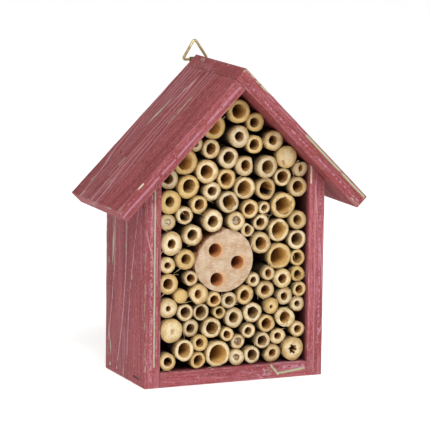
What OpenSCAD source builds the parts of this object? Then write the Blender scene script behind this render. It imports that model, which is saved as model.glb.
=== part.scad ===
// Wall-hung insect hotel: a small gabled box, open at the front, filled with
// bamboo canes around one drilled log, and hung from a wire ring at the ridge.
//
// Frame: +Z up, the open front faces -Y and the back lies against the wall.
// The origin is the middle of the case's underside. All sizes are millimetres.

/* [Case] */
// Outside width across the two side walls
case_w = 140; // [115:1:180]
// Depth of the side walls, front to back
case_d = 76; // [60:1:110]
// Thickness of a side wall
wall_t = 12; // [9:0.5:15]
// Thickness of the base board
base_t = 11; // [8:0.5:15]
// Thickness of the back panel
back_t = 8; // [5:0.5:12]

/* [Roof] */
// Height of the ridge above the ground
ridge_h = 230; // [190:1:280]
// Thickness of a roof board
roof_t = 11; // [8:0.5:15]
// How far each eave reaches out beyond its wall
eave_out = 27.5; // [15:0.5:45]
// Overhang of the roof in front of the case
roof_front = 14; // [0:1:30]

/* [Canes] */
// Clearance around every cane
cane_gap = 0.2; // [0.1:0.05:0.6]
// Thinnest wall left around a cane's bore
cane_wall = 1.5; // [1:0.1:3]
// Thickness of the node that closes the back of a nesting bore
node_t = 8; // [3:0.5:20]

/* [Log] */
// Diameter of the drilled log
log_d = 46; // [36:1:56]
// Sideways place of the log, from the middle
log_x = -7.5; // [-15:0.5:15]
// Height of the log's middle above the base board
log_z = 78; // [70:1:90]
// How far the log's face stands back from the case's front edge
log_inset = 4; // [0:0.5:10]
// Diameter of the holes drilled in the log
hole_d = 10; // [6:0.5:11]
// Thickness of wood left behind those holes
log_back_t = 14; // [5:0.5:30]

/* [Hanger] */
// Diameter of the hanging ring's wire
wire_d = 2; // [1.5:0.1:2.5]
// Width of the ring, between the middles of its corners
ring_w = 20; // [16:0.5:26]
// Height of the ring, from its bar to its peak
ring_h = 15; // [12:0.5:20]
// Width of the bead at each bend of the ring, as a multiple of the wire
bend_bead = 1.06; // [1.02:0.01:1.2]
// How far the ring leans away from upright, towards the wall
ring_lean = 5; // [0:1:10]
// Height of the ring's bar below the ridge
pivot_drop = 4; // [3:0.5:6]
// Width of the strap that holds the ring
strap_w = 8; // [6:0.5:10]
// Thickness of the strap's sheet
strap_t = 0.8; // [0.6:0.1:1]
// Length of the strap below the ring's bar
strap_l = 19; // [18:0.5:24]
// Running clearance between the ring's bar and the strap's eye
pivot_gap = 0.08; // [0.05:0.01:0.1]

/* [Fasteners] */
// Length of the crown of a staple in a wall's foot
crown_l = 12; // [8:0.5:14]
// Length of the crown of a staple in the roof
roof_crown_l = 9.5; // [8:0.5:14]
// Length of a staple's legs
leg_l = 22; // [19:0.5:24]
// Width and thickness of staple wire
staple_wire = 1.2; // [0.8:0.1:1.4]
// How deep a crown is driven below the wood's face
sink = 0.6; // [0.3:0.1:1]
// Diameter of the strap nails' shanks
nail_d = 1.6; // [1.2:0.1:2]
// Length of a strap nail under its head
nail_l = 6; // [5:0.5:7]
// Diameter of a strap nail's head
nail_head_d = 4; // [3:0.1:5]

/* [Hidden] */
// Roof and case outlines that follow from the sizes above
half_w = case_w / 2;
inner_half = half_w - wall_t;
front_y = -case_d / 2;
back_y = case_d / 2;
eave_x = half_w + eave_out;
roof_drop = roof_t * sqrt(2);        // roof thickness, measured straight down
roof_step = roof_t / sqrt(2);        // roof thickness, measured along X or Z
peak_z = ridge_h - roof_drop;        // peak of the space under the roof
roof_l = case_d + roof_front;

// Space that the canes fill, above the base board
room_w = 2 * inner_half;
room_h = peak_z - base_t;
room_back_y = back_y - back_t;

// The canes, laid row by row from the base board up and from left to right.
// A cane is [place from the middle, height above the base board, outer
// diameter, bore, how far its end stands back]. A bore of 0 is a cane cut at a
// node, so that its end is closed. The rows are laid for the room below.
laid_w = 116;
laid_h = 203;
cane_rows = [
    [[-50, 7, 13.5, 7, 3], [-28, 6, 12.5, 8, 2], [-12, 10, 19.5, 14, 3], [4, 6, 12, 5, 4],
     [17, 7, 13.5, 8, 5], [32, 7, 13.5, 6, 5], [50, 11, 18, 6, 3]],
    [[-39, 14, 16, 11, 0], [-25, 18, 13, 6.5, 4], [3, 16, 11, 6, 5], [23, 18, 13, 8, 3],
     [36, 19, 12, 5.5, 5]],
    [[-47, 29, 18, 0, 3], [-32, 29, 13, 7, 6], [-17, 28, 16, 10, 5], [-5, 24, 11, 6, 4],
     [11, 24, 11, 6, 3], [29, 29, 14, 8, 4], [54, 25, 12, 6, 4]],
    [[-37, 41, 13, 8, 5], [-24, 40, 13, 9, 6], [-11, 38, 10, 6, 5], [1, 35, 15, 8, 5],
     [17, 36, 15, 9, 5], [32, 41, 12, 3, 3], [44, 32, 17, 10, 4], [54, 42, 12, 4.5, 5]],
    [[-50, 46, 15, 4, 5], [-39, 53, 11, 0, 4], [-27, 54, 16, 6.5, 3], [-15, 49, 12, 7, 4],
     [-3, 48, 12, 7, 5], [9, 51, 14.5, 8, 5], [26, 53, 14, 7, 5], [43, 49, 13, 6, 4],
     [54, 53, 11, 6.5, 3]],
    [[-50, 63, 15.5, 8, 5], [-34, 67, 11, 6.5, 2], [18, 62, 11, 5, 4], [27, 69, 11, 6.5, 0],
     [39, 62, 14, 7, 3], [52, 64, 12, 6.5, 5]],
    [[-51, 76, 12, 5, 5], [-38, 81, 14.5, 8, 3], [37, 78, 20, 14, 3], [52, 76, 12.5, 8, 5]],
    [[-48, 92, 17, 7, 4], [21, 89, 16, 9.5, 3], [52, 90, 15, 9.5, 4]],
    [[-51, 108, 12, 0, 6], [-33, 98, 14.5, 8, 2], [-18, 108, 15.5, 8.5, 0], [0, 106, 14, 7, 2],
     [11, 99, 10.5, 7, 4], [23, 104, 13, 7, 6], [36, 97, 17, 12, 5], [52, 104, 14, 7, 4]],
    [[-38, 113, 13, 8, 5], [12, 113, 14, 8.5, 4], [26, 114, 10, 5, 5], [40, 115, 20, 13, 5]],
    [[-50, 123, 17, 8, 5], [-27, 121, 13, 8, 4], [-16, 128, 14, 7, 5], [-4, 119, 16, 11, 3],
     [9, 129, 17, 11, 6], [27, 128, 17, 11, 6], [51, 128, 15, 9, 4]],
    [[-51, 138, 15, 8, 6], [-36, 132, 17, 10, 5], [-22, 141, 17, 10, 4], [-4, 136, 15, 9.5, 6],
     [40, 135, 14, 9, 5], [53, 141, 12, 5, 4]],
    [[-37, 150, 18.5, 12, 5], [-4, 151, 15.5, 9, 4], [10, 146, 15, 8.5, 5],
     [26, 144, 17, 10, 2], [41, 151, 17, 0, 2]],
    [[-29, 163, 11, 5, 6], [-16, 158, 14, 8.5, 6], [15, 161, 13, 8, 4]],
    [[-16, 175, 17.5, 12, 6], [3, 167, 15.5, 7.5, 2], [30, 164, 14.5, 7, 2]],
    [[3, 185, 17, 11, 4], [17, 178, 14, 7.5, 5]]
];

// ---- Laying the canes -------------------------------------------------

// Passes that ease crowded canes apart, and how far a cane may swell to fill
// the room around it
ease_passes = 14;
swell = 1.05;

laid = [for (row = cane_rows) each row];
cane_count = len(laid);

// Number of canes in the rows before row k, counted from 1
function canes_before(k) = k < 2 ? 0 : len(cane_rows[k - 2]) + canes_before(k - 1);

// Total of a list of [x, z] moves
function total(list, i = 0) = i == len(list) ? [0, 0] : list[i] + total(list, i + 1);

function pinned(v, low, high) = max(low, min(high, v));

// Distance from a point of the room to the underside of the nearer roof board
function under_roof(p) = (room_h - abs(p[0]) - p[1]) / sqrt(2);

// A cane's middle held clear of the walls, the base board and the roof
function held(p, r) =
    let (x = pinned(p[0], r + cane_gap - room_w / 2, room_w / 2 - r - cane_gap),
         z = max(p[1], r + cane_gap),
         over = max(0, r + cane_gap - under_roof([x, z])) / sqrt(2))
    [x - sign(x) * over, z - over];

// The push on p, of radius r, from a round of radius s at q, if they crowd
function push(p, r, q, s) =
    let (away = p - q, crowding = r + s + cane_gap - norm(away))
    crowding <= 0 || norm(away) == 0 ? [0, 0] : away / norm(away) * crowding;

// One pass: each cane gives way by half to its neighbours and wholly to the log
function eased(spots, radii, passes) = passes == 0 ? spots :
    eased(
        [for (i = [0:cane_count - 1]) held(
            spots[i]
            + 0.5 * total([for (j = [0:cane_count - 1])
                if (j != i && abs(spots[j][1] - spots[i][1]) < radii[i] + radii[j] + cane_gap)
                    push(spots[i], radii[i], spots[j], radii[j])])
            + push(spots[i], radii[i], [log_x, log_z], log_d / 2),
            radii[i])],
        radii, passes - 1);

spread = [room_w / laid_w, room_h / laid_h];
wanted_r = [for (c = laid) c[2] / 2 * min(spread)];
spots = eased([for (c = laid) [c[0] * spread[0], c[1] * spread[1]]], wanted_r, ease_passes);

// The room around cane i: it shares each gap with a neighbour by their sizes
function room_r(i) = min(concat(
    [room_w / 2 - abs(spots[i][0]) - cane_gap,
     spots[i][1] - cane_gap,
     under_roof(spots[i]) - cane_gap,
     norm(spots[i] - [log_x, log_z]) - log_d / 2 - cane_gap],
    [for (j = [0:cane_count - 1]) if (j != i)
        (norm(spots[i] - spots[j]) - cane_gap) * wanted_r[i] / (wanted_r[i] + wanted_r[j])]));

cane_r = [for (i = [0:cane_count - 1]) min(wanted_r[i] * swell, room_r(i))];

// ---- Case --------------------------------------------------------------

// A flat outline in X and Z, drawn out along Y from y0 over a length
module along_y(y0, length) {
    translate([0, y0 + length, 0])
        rotate([90, 0, 0])
            linear_extrude(length)
                children();
}

// Side wall on the left, its top bevelled to lie flat under the roof
module side_wall_block() {
    along_y(front_y, case_d)
        polygon([
            [-half_w, 0], [-inner_half, 0],
            [-inner_half, peak_z - inner_half], [-half_w, peak_z - half_w]
        ]);
}

module left_wall() {
    color("indianred")
        difference() {
            side_wall_block();
            base_staples();
            roof_staples();
        }
}

module right_wall() {
    color("indianred")
        difference() {
            mirror([1, 0, 0]) side_wall_block();
            base_staples();
            roof_staples();
        }
}

module base_board() {
    color("indianred")
        difference() {
            translate([-inner_half, front_y, 0]) cube([room_w, case_d, base_t]);
            base_staples();
        }
}

// Back panel set in flush between the walls, on the base board's rear edge
module back_panel() {
    color("rosybrown")
        difference() {
            along_y(room_back_y, back_t)
                polygon([
                    [-inner_half, base_t], [inner_half, base_t],
                    [inner_half, peak_z - inner_half], [0, peak_z],
                    [-inner_half, peak_z - inner_half]
                ]);
            nail_shanks();
        }
}

// ---- Roof: the right board laps over the left board's top end -----------

module roof_left_board() {
    color("brown")
        difference() {
            along_y(front_y - roof_front, roof_l)
                polygon([
                    [-roof_step, ridge_h - roof_step], [-eave_x, ridge_h - eave_x],
                    [roof_step - eave_x, ridge_h - eave_x - roof_step], [0, peak_z]
                ]);
            roof_staples();
            ridge_staples();
        }
}

module roof_right_board() {
    color("brown")
        difference() {
            along_y(front_y - roof_front, roof_l)
                polygon([
                    [0, ridge_h], [eave_x, ridge_h - eave_x],
                    [eave_x - roof_step, ridge_h - eave_x - roof_step],
                    [-roof_step, ridge_h - roof_step]
                ]);
            roof_staples();
            ridge_staples();
            nail_shanks();
        }
}

// ---- Fasteners ------------------------------------------------------------

// Staple with its crown along Y and its legs pointing down from the origin
module staple(crown) {
    translate([-staple_wire / 2, -crown / 2, -sink - staple_wire])
        cube([staple_wire, crown, staple_wire]);
    for (side = [-1, 1])
        translate([-staple_wire / 2, side * (crown - staple_wire) / 2 - staple_wire / 2,
                   -sink - leg_l])
            cube([staple_wire, staple_wire, leg_l]);
}

// A staple driven into each wall's foot near the front and near the back
staple_edge = 16;
module base_staples() {
    color("dimgray")
        for (side = [-1, 1], y = [front_y + staple_edge, back_y - staple_edge])
            translate([side * half_w, y, base_t / 2])
                rotate([0, side * 90, 0])
                    staple(crown_l);
}

// Staples straight down through each roof board into the end of the wall below
roof_staple_x = half_w - wall_t / 3;
roof_staple_y = 11;                  // the first one's place behind the case's front
roof_staple_pitch = 41;
module roof_staples() {
    color("dimgray")
        for (side = [-1, 1], i = [0, 1])
            translate([side * roof_staple_x, front_y + roof_staple_y + i * roof_staple_pitch,
                       ridge_h - roof_staple_x - staple_wire / 2])
                staple(roof_crown_l);
}

// Staples through the right board into the left board's top end
module ridge_staples() {
    color("dimgray")
        for (y = [front_y - roof_front + staple_edge, back_y - staple_edge])
            translate([roof_step / 2, y, ridge_h - roof_step / 2])
                rotate([0, 45, 0])
                    staple(roof_crown_l);
}

// ---- Hanger -----------------------------------------------------------------

eye_r = wire_d / 2 + pivot_gap;
eye_outer_r = eye_r + strap_t;
pivot_y = back_y + eye_outer_r;
pivot_z = ridge_h - pivot_drop;
// One nail in the roof board above the peak, one in the back panel below it
nail_above = 6;
nail_below = 3.5;
nail_zs = [peak_z + nail_above, peak_z - nail_below];
nail_head_h = 1.2;
nail_head_taper = 0.6;               // a nail head's outer width to its inner

// A cylinder along X, centred on the ring's bar
module on_pivot(r, length) {
    translate([-length / 2, pivot_y, pivot_z])
        rotate([0, 90, 0])
            cylinder(h = length, r = r, $fn = 48);
}

module nail_shanks() {
    for (z = nail_zs)
        translate([0, back_y + 2 * strap_t, z])
            rotate([90, 0, 0])
                cylinder(h = nail_l, d = nail_d, $fn = 24);
}

// Sheet strap folded round the ring's bar, its two leaves nailed to the back
module hanger_strap() {
    color("darkgoldenrod")
        difference() {
            union() {
                on_pivot(eye_outer_r, strap_w);
                translate([-strap_w / 2, back_y, pivot_z - strap_l])
                    cube([strap_w, 2 * strap_t, strap_l]);
            }
            on_pivot(eye_r, strap_w + 2);
            nail_shanks();
        }
}

module hanger_nails() {
    color("darkgoldenrod") {
        nail_shanks();
        for (z = nail_zs)
            translate([0, back_y + 2 * strap_t, z])
                rotate([-90, 0, 0])
                    cylinder(h = nail_head_h, d1 = nail_head_d,
                             d2 = nail_head_d * nail_head_taper, $fn = 32);
    }
}

// Triangle of wire, its bar along the bottom, with a full bead at each bend
ring_corners = [[-ring_w / 2, 0, 0], [ring_w / 2, 0, 0], [0, 0, ring_h]];

module ring_side(from, to) {
    run = to - from;
    translate(from)
        rotate([0, acos(run[2] / norm(run)), atan2(run[1], run[0])])
            cylinder(h = norm(run), d = wire_d, $fn = 32);
    translate(from)
        sphere(d = wire_d * bend_bead, $fn = 32);
}

module hanger_ring() {
    color("goldenrod")
        translate([0, pivot_y, pivot_z])
            rotate([-ring_lean, 0, 0])
                for (i = [0:2])
                    ring_side(ring_corners[i], ring_corners[(i + 1) % 3]);
}

// ---- Log and canes ------------------------------------------------------------

// Places of the log's holes from its middle, for a log of the first diameter
holes_laid_d = 46;
log_holes = [[-7, 8], [-5.5, -13.5], [10.5, -2]];

// A blind hole along Y, open at the front end and ending short of back_end
module bored(at, front_end, back_end, r) {
    translate([at[0], back_end, at[1]])
        rotate([90, 0, 0])
            cylinder(h = back_end - front_end + 1, r = r, $fn = 48);
}

module drilled_log() {
    front_end = front_y + log_inset;
    color("burlywood")
        translate([log_x, 0, base_t + log_z])
            difference() {
                translate([0, room_back_y, 0])
                    rotate([90, 0, 0])
                        cylinder(h = room_back_y - front_end, d = log_d, $fn = 96);
                for (hole = log_holes)
                    bored(hole * log_d / holes_laid_d, front_end,
                          room_back_y - log_back_t, hole_d / 2);
            }
}

// Cane i of the whole pile, its back end against the back panel
module cane(i) {
    end_y = front_y + laid[i][4];
    bore_r = min(laid[i][3] / 2, cane_r[i] - cane_wall);
    translate([spots[i][0], 0, base_t + spots[i][1]])
        difference() {
            translate([0, room_back_y, 0])
                rotate([90, 0, 0])
                    cylinder(h = room_back_y - end_y, r = cane_r[i], $fn = 48);
            if (laid[i][3] > 0)
                bored([0, 0], end_y, room_back_y - node_t, bore_r);
        }
}

module cane_row(k) {
    color(k % 2 == 0 ? "khaki" : "wheat")
        for (i = [0:len(cane_rows[k - 1]) - 1])
            cane(canes_before(k) + i);
}

left_wall();
right_wall();
base_board();
back_panel();
roof_left_board();
roof_right_board();
base_staples();
roof_staples();
ridge_staples();
drilled_log();
hanger_strap();
hanger_ring();
hanger_nails();
for (k = [1:len(cane_rows)])
    cane_row(k);
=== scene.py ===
import logging
import math
import random
from dataclasses import dataclass, field
from enum import Enum
from typing import Callable, Sequence, Union

import bmesh
import bpy
import numpy as np
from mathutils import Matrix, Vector


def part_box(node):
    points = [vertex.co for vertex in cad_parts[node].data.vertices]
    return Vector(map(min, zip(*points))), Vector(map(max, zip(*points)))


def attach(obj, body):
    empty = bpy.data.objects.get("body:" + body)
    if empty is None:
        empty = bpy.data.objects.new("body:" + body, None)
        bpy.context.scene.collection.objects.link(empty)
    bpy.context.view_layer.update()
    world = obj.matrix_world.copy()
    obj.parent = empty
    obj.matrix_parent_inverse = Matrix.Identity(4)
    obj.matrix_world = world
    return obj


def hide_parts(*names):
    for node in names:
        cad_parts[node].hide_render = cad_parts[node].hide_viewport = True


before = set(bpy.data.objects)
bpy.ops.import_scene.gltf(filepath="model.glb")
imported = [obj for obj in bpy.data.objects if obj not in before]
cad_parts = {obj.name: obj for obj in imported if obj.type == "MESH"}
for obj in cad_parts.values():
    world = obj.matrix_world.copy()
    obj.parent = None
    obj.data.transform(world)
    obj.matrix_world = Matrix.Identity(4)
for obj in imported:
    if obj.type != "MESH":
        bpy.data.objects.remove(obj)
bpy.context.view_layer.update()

LOG = logging.getLogger("insect_hotel")

# All sizes are in metres. Z points up, the hotel's front faces -Y, and the origin is in
# the middle of the case's underside.
MM = 0.001
CASE = "case"
RING = "ring"

Colour = tuple[float, float, float]
Socket = bpy.types.NodeSocket
Value = Union[float, Sequence[float], Socket]
FaceTest = Callable[[Vector, Vector], bool]
PointTest = Callable[[Vector], bool]


# ---------------------------------------------------------------- modelling


def leave_edit() -> None:
    """Goes back to object mode with nothing selected."""
    if bpy.context.mode != "OBJECT":
        bpy.ops.object.mode_set(mode="OBJECT")
    bpy.ops.object.select_all(action="DESELECT")


def take(piece: bpy.types.Object) -> None:
    """Makes one piece the only selected and active object.

    Args:
        piece: The object.
    """
    leave_edit()
    piece.select_set(True)
    bpy.context.view_layer.objects.active = piece


def unpick(mesh: bmesh.types.BMesh) -> None:
    """Deselects every point, edge and face."""
    for part in (*mesh.verts, *mesh.edges, *mesh.faces):
        part.select = False


def pick_faces(piece: bpy.types.Object, wanted: FaceTest) -> None:
    """Selects faces of the piece that is open in edit mode.

    Args:
        piece: The object in edit mode.
        wanted: Tells from a face's middle and normal whether it is picked.
    """
    mesh = bmesh.from_edit_mesh(piece.data)
    unpick(mesh)
    for face in mesh.faces:
        if wanted(face.calc_center_median(), face.normal):
            face.select_set(True)
    mesh.select_flush_mode()
    bmesh.update_edit_mesh(piece.data)


def pick_points(piece: bpy.types.Object, wanted: PointTest) -> None:
    """Selects points of the piece that is open in edit mode.

    Args:
        piece: The object in edit mode.
        wanted: Tells from a point's place whether it is picked.
    """
    mesh = bmesh.from_edit_mesh(piece.data)
    unpick(mesh)
    for vertex in mesh.verts:
        vertex.select = wanted(vertex.co)
    mesh.select_flush_mode()
    bmesh.update_edit_mesh(piece.data)


def add_modifier(piece: bpy.types.Object, kind: str, **settings: object) -> None:
    """Adds a modifier with these settings and applies it.

    Args:
        piece: The object to change.
        kind: Blender's name for the modifier's type.
        **settings: The modifier's own values.
    """
    take(piece)
    modifier = piece.modifiers.new(kind.lower(), kind)
    for key, value in settings.items():
        setattr(modifier, key, value)
    bpy.ops.object.modifier_apply(modifier=modifier.name)


def soften(piece: bpy.types.Object, width: float, segments: int, angle: float) -> None:
    """Rounds the edges that are sharper than an angle.

    Args:
        piece: The object to change.
        width: How wide the rounding is.
        segments: How many faces it has.
        angle: The angle, in degrees.
    """
    add_modifier(piece, "BEVEL", width=width, segments=segments, limit_method="ANGLE",
                 angle_limit=math.radians(angle), use_clamp_overlap=True)


def cut_away(piece: bpy.types.Object, cutter: bpy.types.Object) -> None:
    """Cuts one object's shape out of another and removes the cutter.

    Args:
        piece: The object to change.
        cutter: The shape to cut out.
    """
    add_modifier(piece, "BOOLEAN", object=cutter, operation="DIFFERENCE", solver="EXACT")
    bpy.data.objects.remove(cutter)


def coat(piece: bpy.types.Object, *materials: bpy.types.Material) -> None:
    """Gives a piece these materials and no others.

    Args:
        piece: The object to change.
        *materials: Its materials, in the order of their slots.
    """
    piece.data.materials.clear()
    for material in materials:
        piece.data.materials.append(material)


def tidy_mesh(piece: bpy.types.Object, angle: float) -> None:
    """Merges doubles, turns the faces outwards and smooths by angle.

    Args:
        piece: The finished object.
        angle: Edges sharper than this many degrees stay crisp.
    """
    take(piece)
    bpy.ops.object.mode_set(mode="EDIT")
    bpy.ops.mesh.select_all(action="SELECT")
    bpy.ops.mesh.remove_doubles(threshold=1e-6)
    bpy.ops.mesh.normals_make_consistent(inside=False)
    leave_edit()
    take(piece)
    bpy.ops.object.shade_smooth_by_angle(angle=math.radians(angle))
    leave_edit()


def settle(piece: bpy.types.Object) -> None:
    """Puts the piece's place, turn and size into its mesh."""
    take(piece)
    bpy.ops.object.transform_apply(location=True, rotation=True, scale=True)


def cloud(name: str, size: float) -> bpy.types.Texture:
    """Makes a soft coloured cloud that pushes a surface about.

    Args:
        name: The texture's name.
        size: Size of the clouds, in metres.

    Returns:
        The texture.
    """
    texture = bpy.data.textures.new(name, "CLOUDS")
    texture.cloud_type = "COLOR"
    texture.noise_scale = size
    texture.noise_depth = 2
    return texture


def points_of(node: str) -> np.ndarray:
    """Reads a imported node's points.

    Args:
        node: The node's name.

    Returns:
        Its points, in metres, one in each row.
    """
    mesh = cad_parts[node].data
    points = np.empty(len(mesh.vertices) * 3)
    mesh.vertices.foreach_get("co", points)
    return points.reshape(-1, 3)


def corners_of(node: str) -> tuple[Vector, Vector]:
    """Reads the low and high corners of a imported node's box."""
    low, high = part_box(node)
    return Vector(low), Vector(high)


def solids_of(node: str) -> list[np.ndarray]:
    """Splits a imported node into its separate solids.

    Args:
        node: The node's name.

    Returns:
        One array of points, in metres, for each solid.
    """
    points = points_of(node)
    _, first, same = np.unique(
        np.round(points * 1e6).astype(np.int64), axis=0, return_index=True, return_inverse=True)
    same = same.ravel()
    parent = list(range(len(first)))

    def root(i: int) -> int:
        """Finds the solid that point i belongs to."""
        while parent[i] != i:
            parent[i] = parent[parent[i]]
            i = parent[i]
        return i

    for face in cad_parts[node].data.polygons:
        corners = [root(int(same[v])) for v in face.vertices]
        for other in corners[1:]:
            parent[root(other)] = root(corners[0])
    groups: dict[int, list[int]] = {}
    for i in range(len(first)):
        groups.setdefault(root(i), []).append(int(first[i]))
    return [points[members] for members in groups.values()]


# ---------------------------------------------------------------- node graphs


@dataclass
class Graph:
    """A node tree, with short calls for the nodes that the finishes use."""

    tree: bpy.types.NodeTree

    def add(self, kind: str, values: dict[Union[str, int], Value] | None = None,
            **settings: object) -> bpy.types.Node:
        """Adds a node.

        Args:
            kind: The node's type.
            values: Its inputs, each a plain value or a socket to link from.
            **settings: The node's own properties.

        Returns:
            The node.
        """
        node = self.tree.nodes.new(kind)
        for key, setting in settings.items():
            setattr(node, key, setting)
        for key, value in (values or {}).items():
            self.feed(node.inputs[key], value)
        return node

    def feed(self, socket: Socket, value: Value) -> None:
        """Links or sets one input.

        Args:
            socket: The input.
            value: A socket to link from, or a plain value.
        """
        if isinstance(value, bpy.types.NodeSocket):
            self.tree.links.new(value, socket)
        elif socket.type == "RGBA" and len(value) == 3:
            socket.default_value = (*value, 1.0)
        else:
            socket.default_value = value

    def math(self, operation: str, *values: Value, clamp: bool = False) -> Socket:
        """Adds a Math node.

        Args:
            operation: What it works out.
            *values: Its one to three inputs.
            clamp: Whether the result is kept from 0 to 1.

        Returns:
            The result.
        """
        node = self.add("ShaderNodeMath", dict(enumerate(values)), operation=operation, use_clamp=clamp)
        return node.outputs[0]

    def times(self, first: Value, *others: Value) -> Socket:
        """Multiplies values.

        Args:
            first: The first value.
            *others: The values it is multiplied by.

        Returns:
            The product.
        """
        for other in others:
            first = self.math("MULTIPLY", first, other)
        return first

    def vector(self, operation: str, *values: Value) -> bpy.types.Node:
        """Adds a Vector Math node.

        Args:
            operation: What it works out.
            *values: Its one to three inputs.

        Returns:
            The node.
        """
        return self.add("ShaderNodeVectorMath", dict(enumerate(values)), operation=operation)

    def split(self, vector: Value) -> Sequence[Socket]:
        """Splits a vector into its X, Y and Z."""
        return self.add("ShaderNodeSeparateXYZ", {0: vector}).outputs

    def combine(self, *values: Value) -> Socket:
        """Makes a vector from X, Y and Z."""
        return self.add("ShaderNodeCombineXYZ", dict(enumerate(values))).outputs[0]

    def coords(self) -> Socket:
        """Puts out the place in the model."""
        return self.add("ShaderNodeTexCoord").outputs["Object"]

    def blend(self, amount: Value, under: Value, over: Value) -> Socket:
        """Mixes two colours.

        Args:
            amount: How much of the second one shows, from 0 to 1.
            under: The first colour.
            over: The second colour.

        Returns:
            The mixed colour.
        """
        node = self.add("ShaderNodeMix", data_type="RGBA", clamp_factor=True)
        for place_in, value in ((0, amount), (6, under), (7, over)):
            self.feed(node.inputs[place_in], value)
        return node.outputs[2]

    def remap(self, value: Value, low: Value, high: Value, to_low: Value = 0.0,
              to_high: Value = 1.0) -> Socket:
        """Stretches a value to new limits, smoothly.

        Args:
            value: The value.
            low: Where it starts to change.
            high: Where it stops changing.
            to_low: The result at low.
            to_high: The result at high.

        Returns:
            The stretched value.
        """
        node = self.add("ShaderNodeMapRange", {
            "Value": value, "From Min": low, "From Max": high,
            "To Min": to_low, "To Max": to_high}, interpolation_type="SMOOTHSTEP")
        return node.outputs[0]

    def noise(self, vector: Value, scale: Value, detail: float = 2.0,
              distortion: float = 0.0) -> Socket:
        """Adds a Noise Texture.

        Args:
            vector: The place.
            scale: How many patches lie in a metre.
            detail: How many finer layers it has.
            distortion: How far it is swirled.

        Returns:
            The noise, from 0 to 1.
        """
        node = self.add("ShaderNodeTexNoise", {
            "Vector": vector, "Scale": scale, "Detail": detail, "Distortion": distortion})
        return node.outputs["Fac"]

    def scaled(self, vector: Value, factors: Value) -> Socket:
        """Multiplies a vector's X, Y and Z by three factors."""
        return self.vector("MULTIPLY", vector, factors).outputs[0]


def open_group(name: str, inputs: dict[str, Value]) -> tuple[Graph, dict[str, Socket]]:
    """Starts a node group.

    Args:
        name: The group's name.
        inputs: Each input's default, a number or the three of a vector.

    Returns:
        The group's graph, and its inputs by name.
    """
    tree = bpy.data.node_groups.new(name, "ShaderNodeTree")
    for key, default in inputs.items():
        kind = "NodeSocketFloat" if isinstance(default, float) else "NodeSocketVector"
        socket = tree.interface.new_socket(name=key, in_out="INPUT", socket_type=kind)
        socket.default_value = default
    source = tree.nodes.new("NodeGroupInput")
    return Graph(tree), {key: source.outputs[key] for key in inputs}


def close_group(graph: Graph, outputs: dict[str, Socket]) -> bpy.types.NodeTree:
    """Gives a node group its outputs.

    Args:
        graph: The group's graph.
        outputs: What each output puts out.

    Returns:
        The finished group.
    """
    for key in outputs:
        graph.tree.interface.new_socket(name=key, in_out="OUTPUT", socket_type="NodeSocketFloat")
    graph.add("NodeGroupOutput", outputs)
    return graph.tree


ORIGIN = (0.0, 0.0, 0.0)


def make_grain_group() -> bpy.types.NodeTree:
    """Builds the grain of a sawn board whose length runs along Z.

    Returns:
        A group that puts out broad tone, fine fibre, thin growth lines and height.
    """
    graph, given = open_group("sawn_grain", {
        "Vector": ORIGIN, "Line Spacing": 7.0, "Seed": 0.0, "Line Width": 0.04, "Gaps": 0.44})
    seed = given["Seed"]
    base = graph.vector("ADD", given["Vector"], graph.combine(seed, seed, seed)).outputs[0]
    tone = graph.noise(graph.scaled(base, (1, 1, 0.10)), 75.0, 3.0, 0.4)
    fibre = graph.noise(graph.scaled(base, (1, 1, 0.022)), 1150.0, 3.0)
    rings = graph.noise(graph.scaled(base, (1, 1, 0.13)), 34.0, 0.6, 0.25)
    turns = graph.times(rings, given["Line Spacing"])
    edge = graph.math("ABSOLUTE", graph.math("SUBTRACT", graph.math("FRACT", turns), 0.5))
    breaks = graph.noise(graph.scaled(base, (1, 1, 0.30)), 130.0, 2.0)
    whole = graph.math("ADD", given["Gaps"], 0.12)
    lines = graph.times(graph.remap(edge, given["Line Width"], 0.0),
                        graph.remap(breaks, given["Gaps"], whole))
    height = graph.math("SUBTRACT", fibre, graph.times(graph.remap(edge, 0.10, 0.0), 0.8))
    return close_group(graph, {"Tone": tone, "Fibre": fibre, "Lines": lines, "Height": height})


def make_arris_group() -> bpy.types.NodeTree:
    """Builds the mask of a board's worn edges.

    Returns:
        A group that takes a place in the board and its half sizes, and puts
        out 1 on the nearest edge, falling to 0 a little way into the face.
    """
    graph, given = open_group("worn_arris", {"Vector": ORIGIN, "Half": (1.0, 1.0, 1.0), "Width": 0.001})
    away = graph.vector("ABSOLUTE", given["Vector"]).outputs[0]
    inside = graph.split(graph.vector("SUBTRACT", given["Half"], away).outputs[0])
    low = graph.math("MINIMUM", inside[0], inside[1])
    high = graph.math("MAXIMUM", inside[0], inside[1])
    second = graph.math("MAXIMUM", low, graph.math("MINIMUM", high, inside[2]))
    share = graph.math("DIVIDE", second, given["Width"], clamp=True)
    return close_group(graph, {"Mask": graph.math("SUBTRACT", 1.0, share, clamp=True)})


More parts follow.
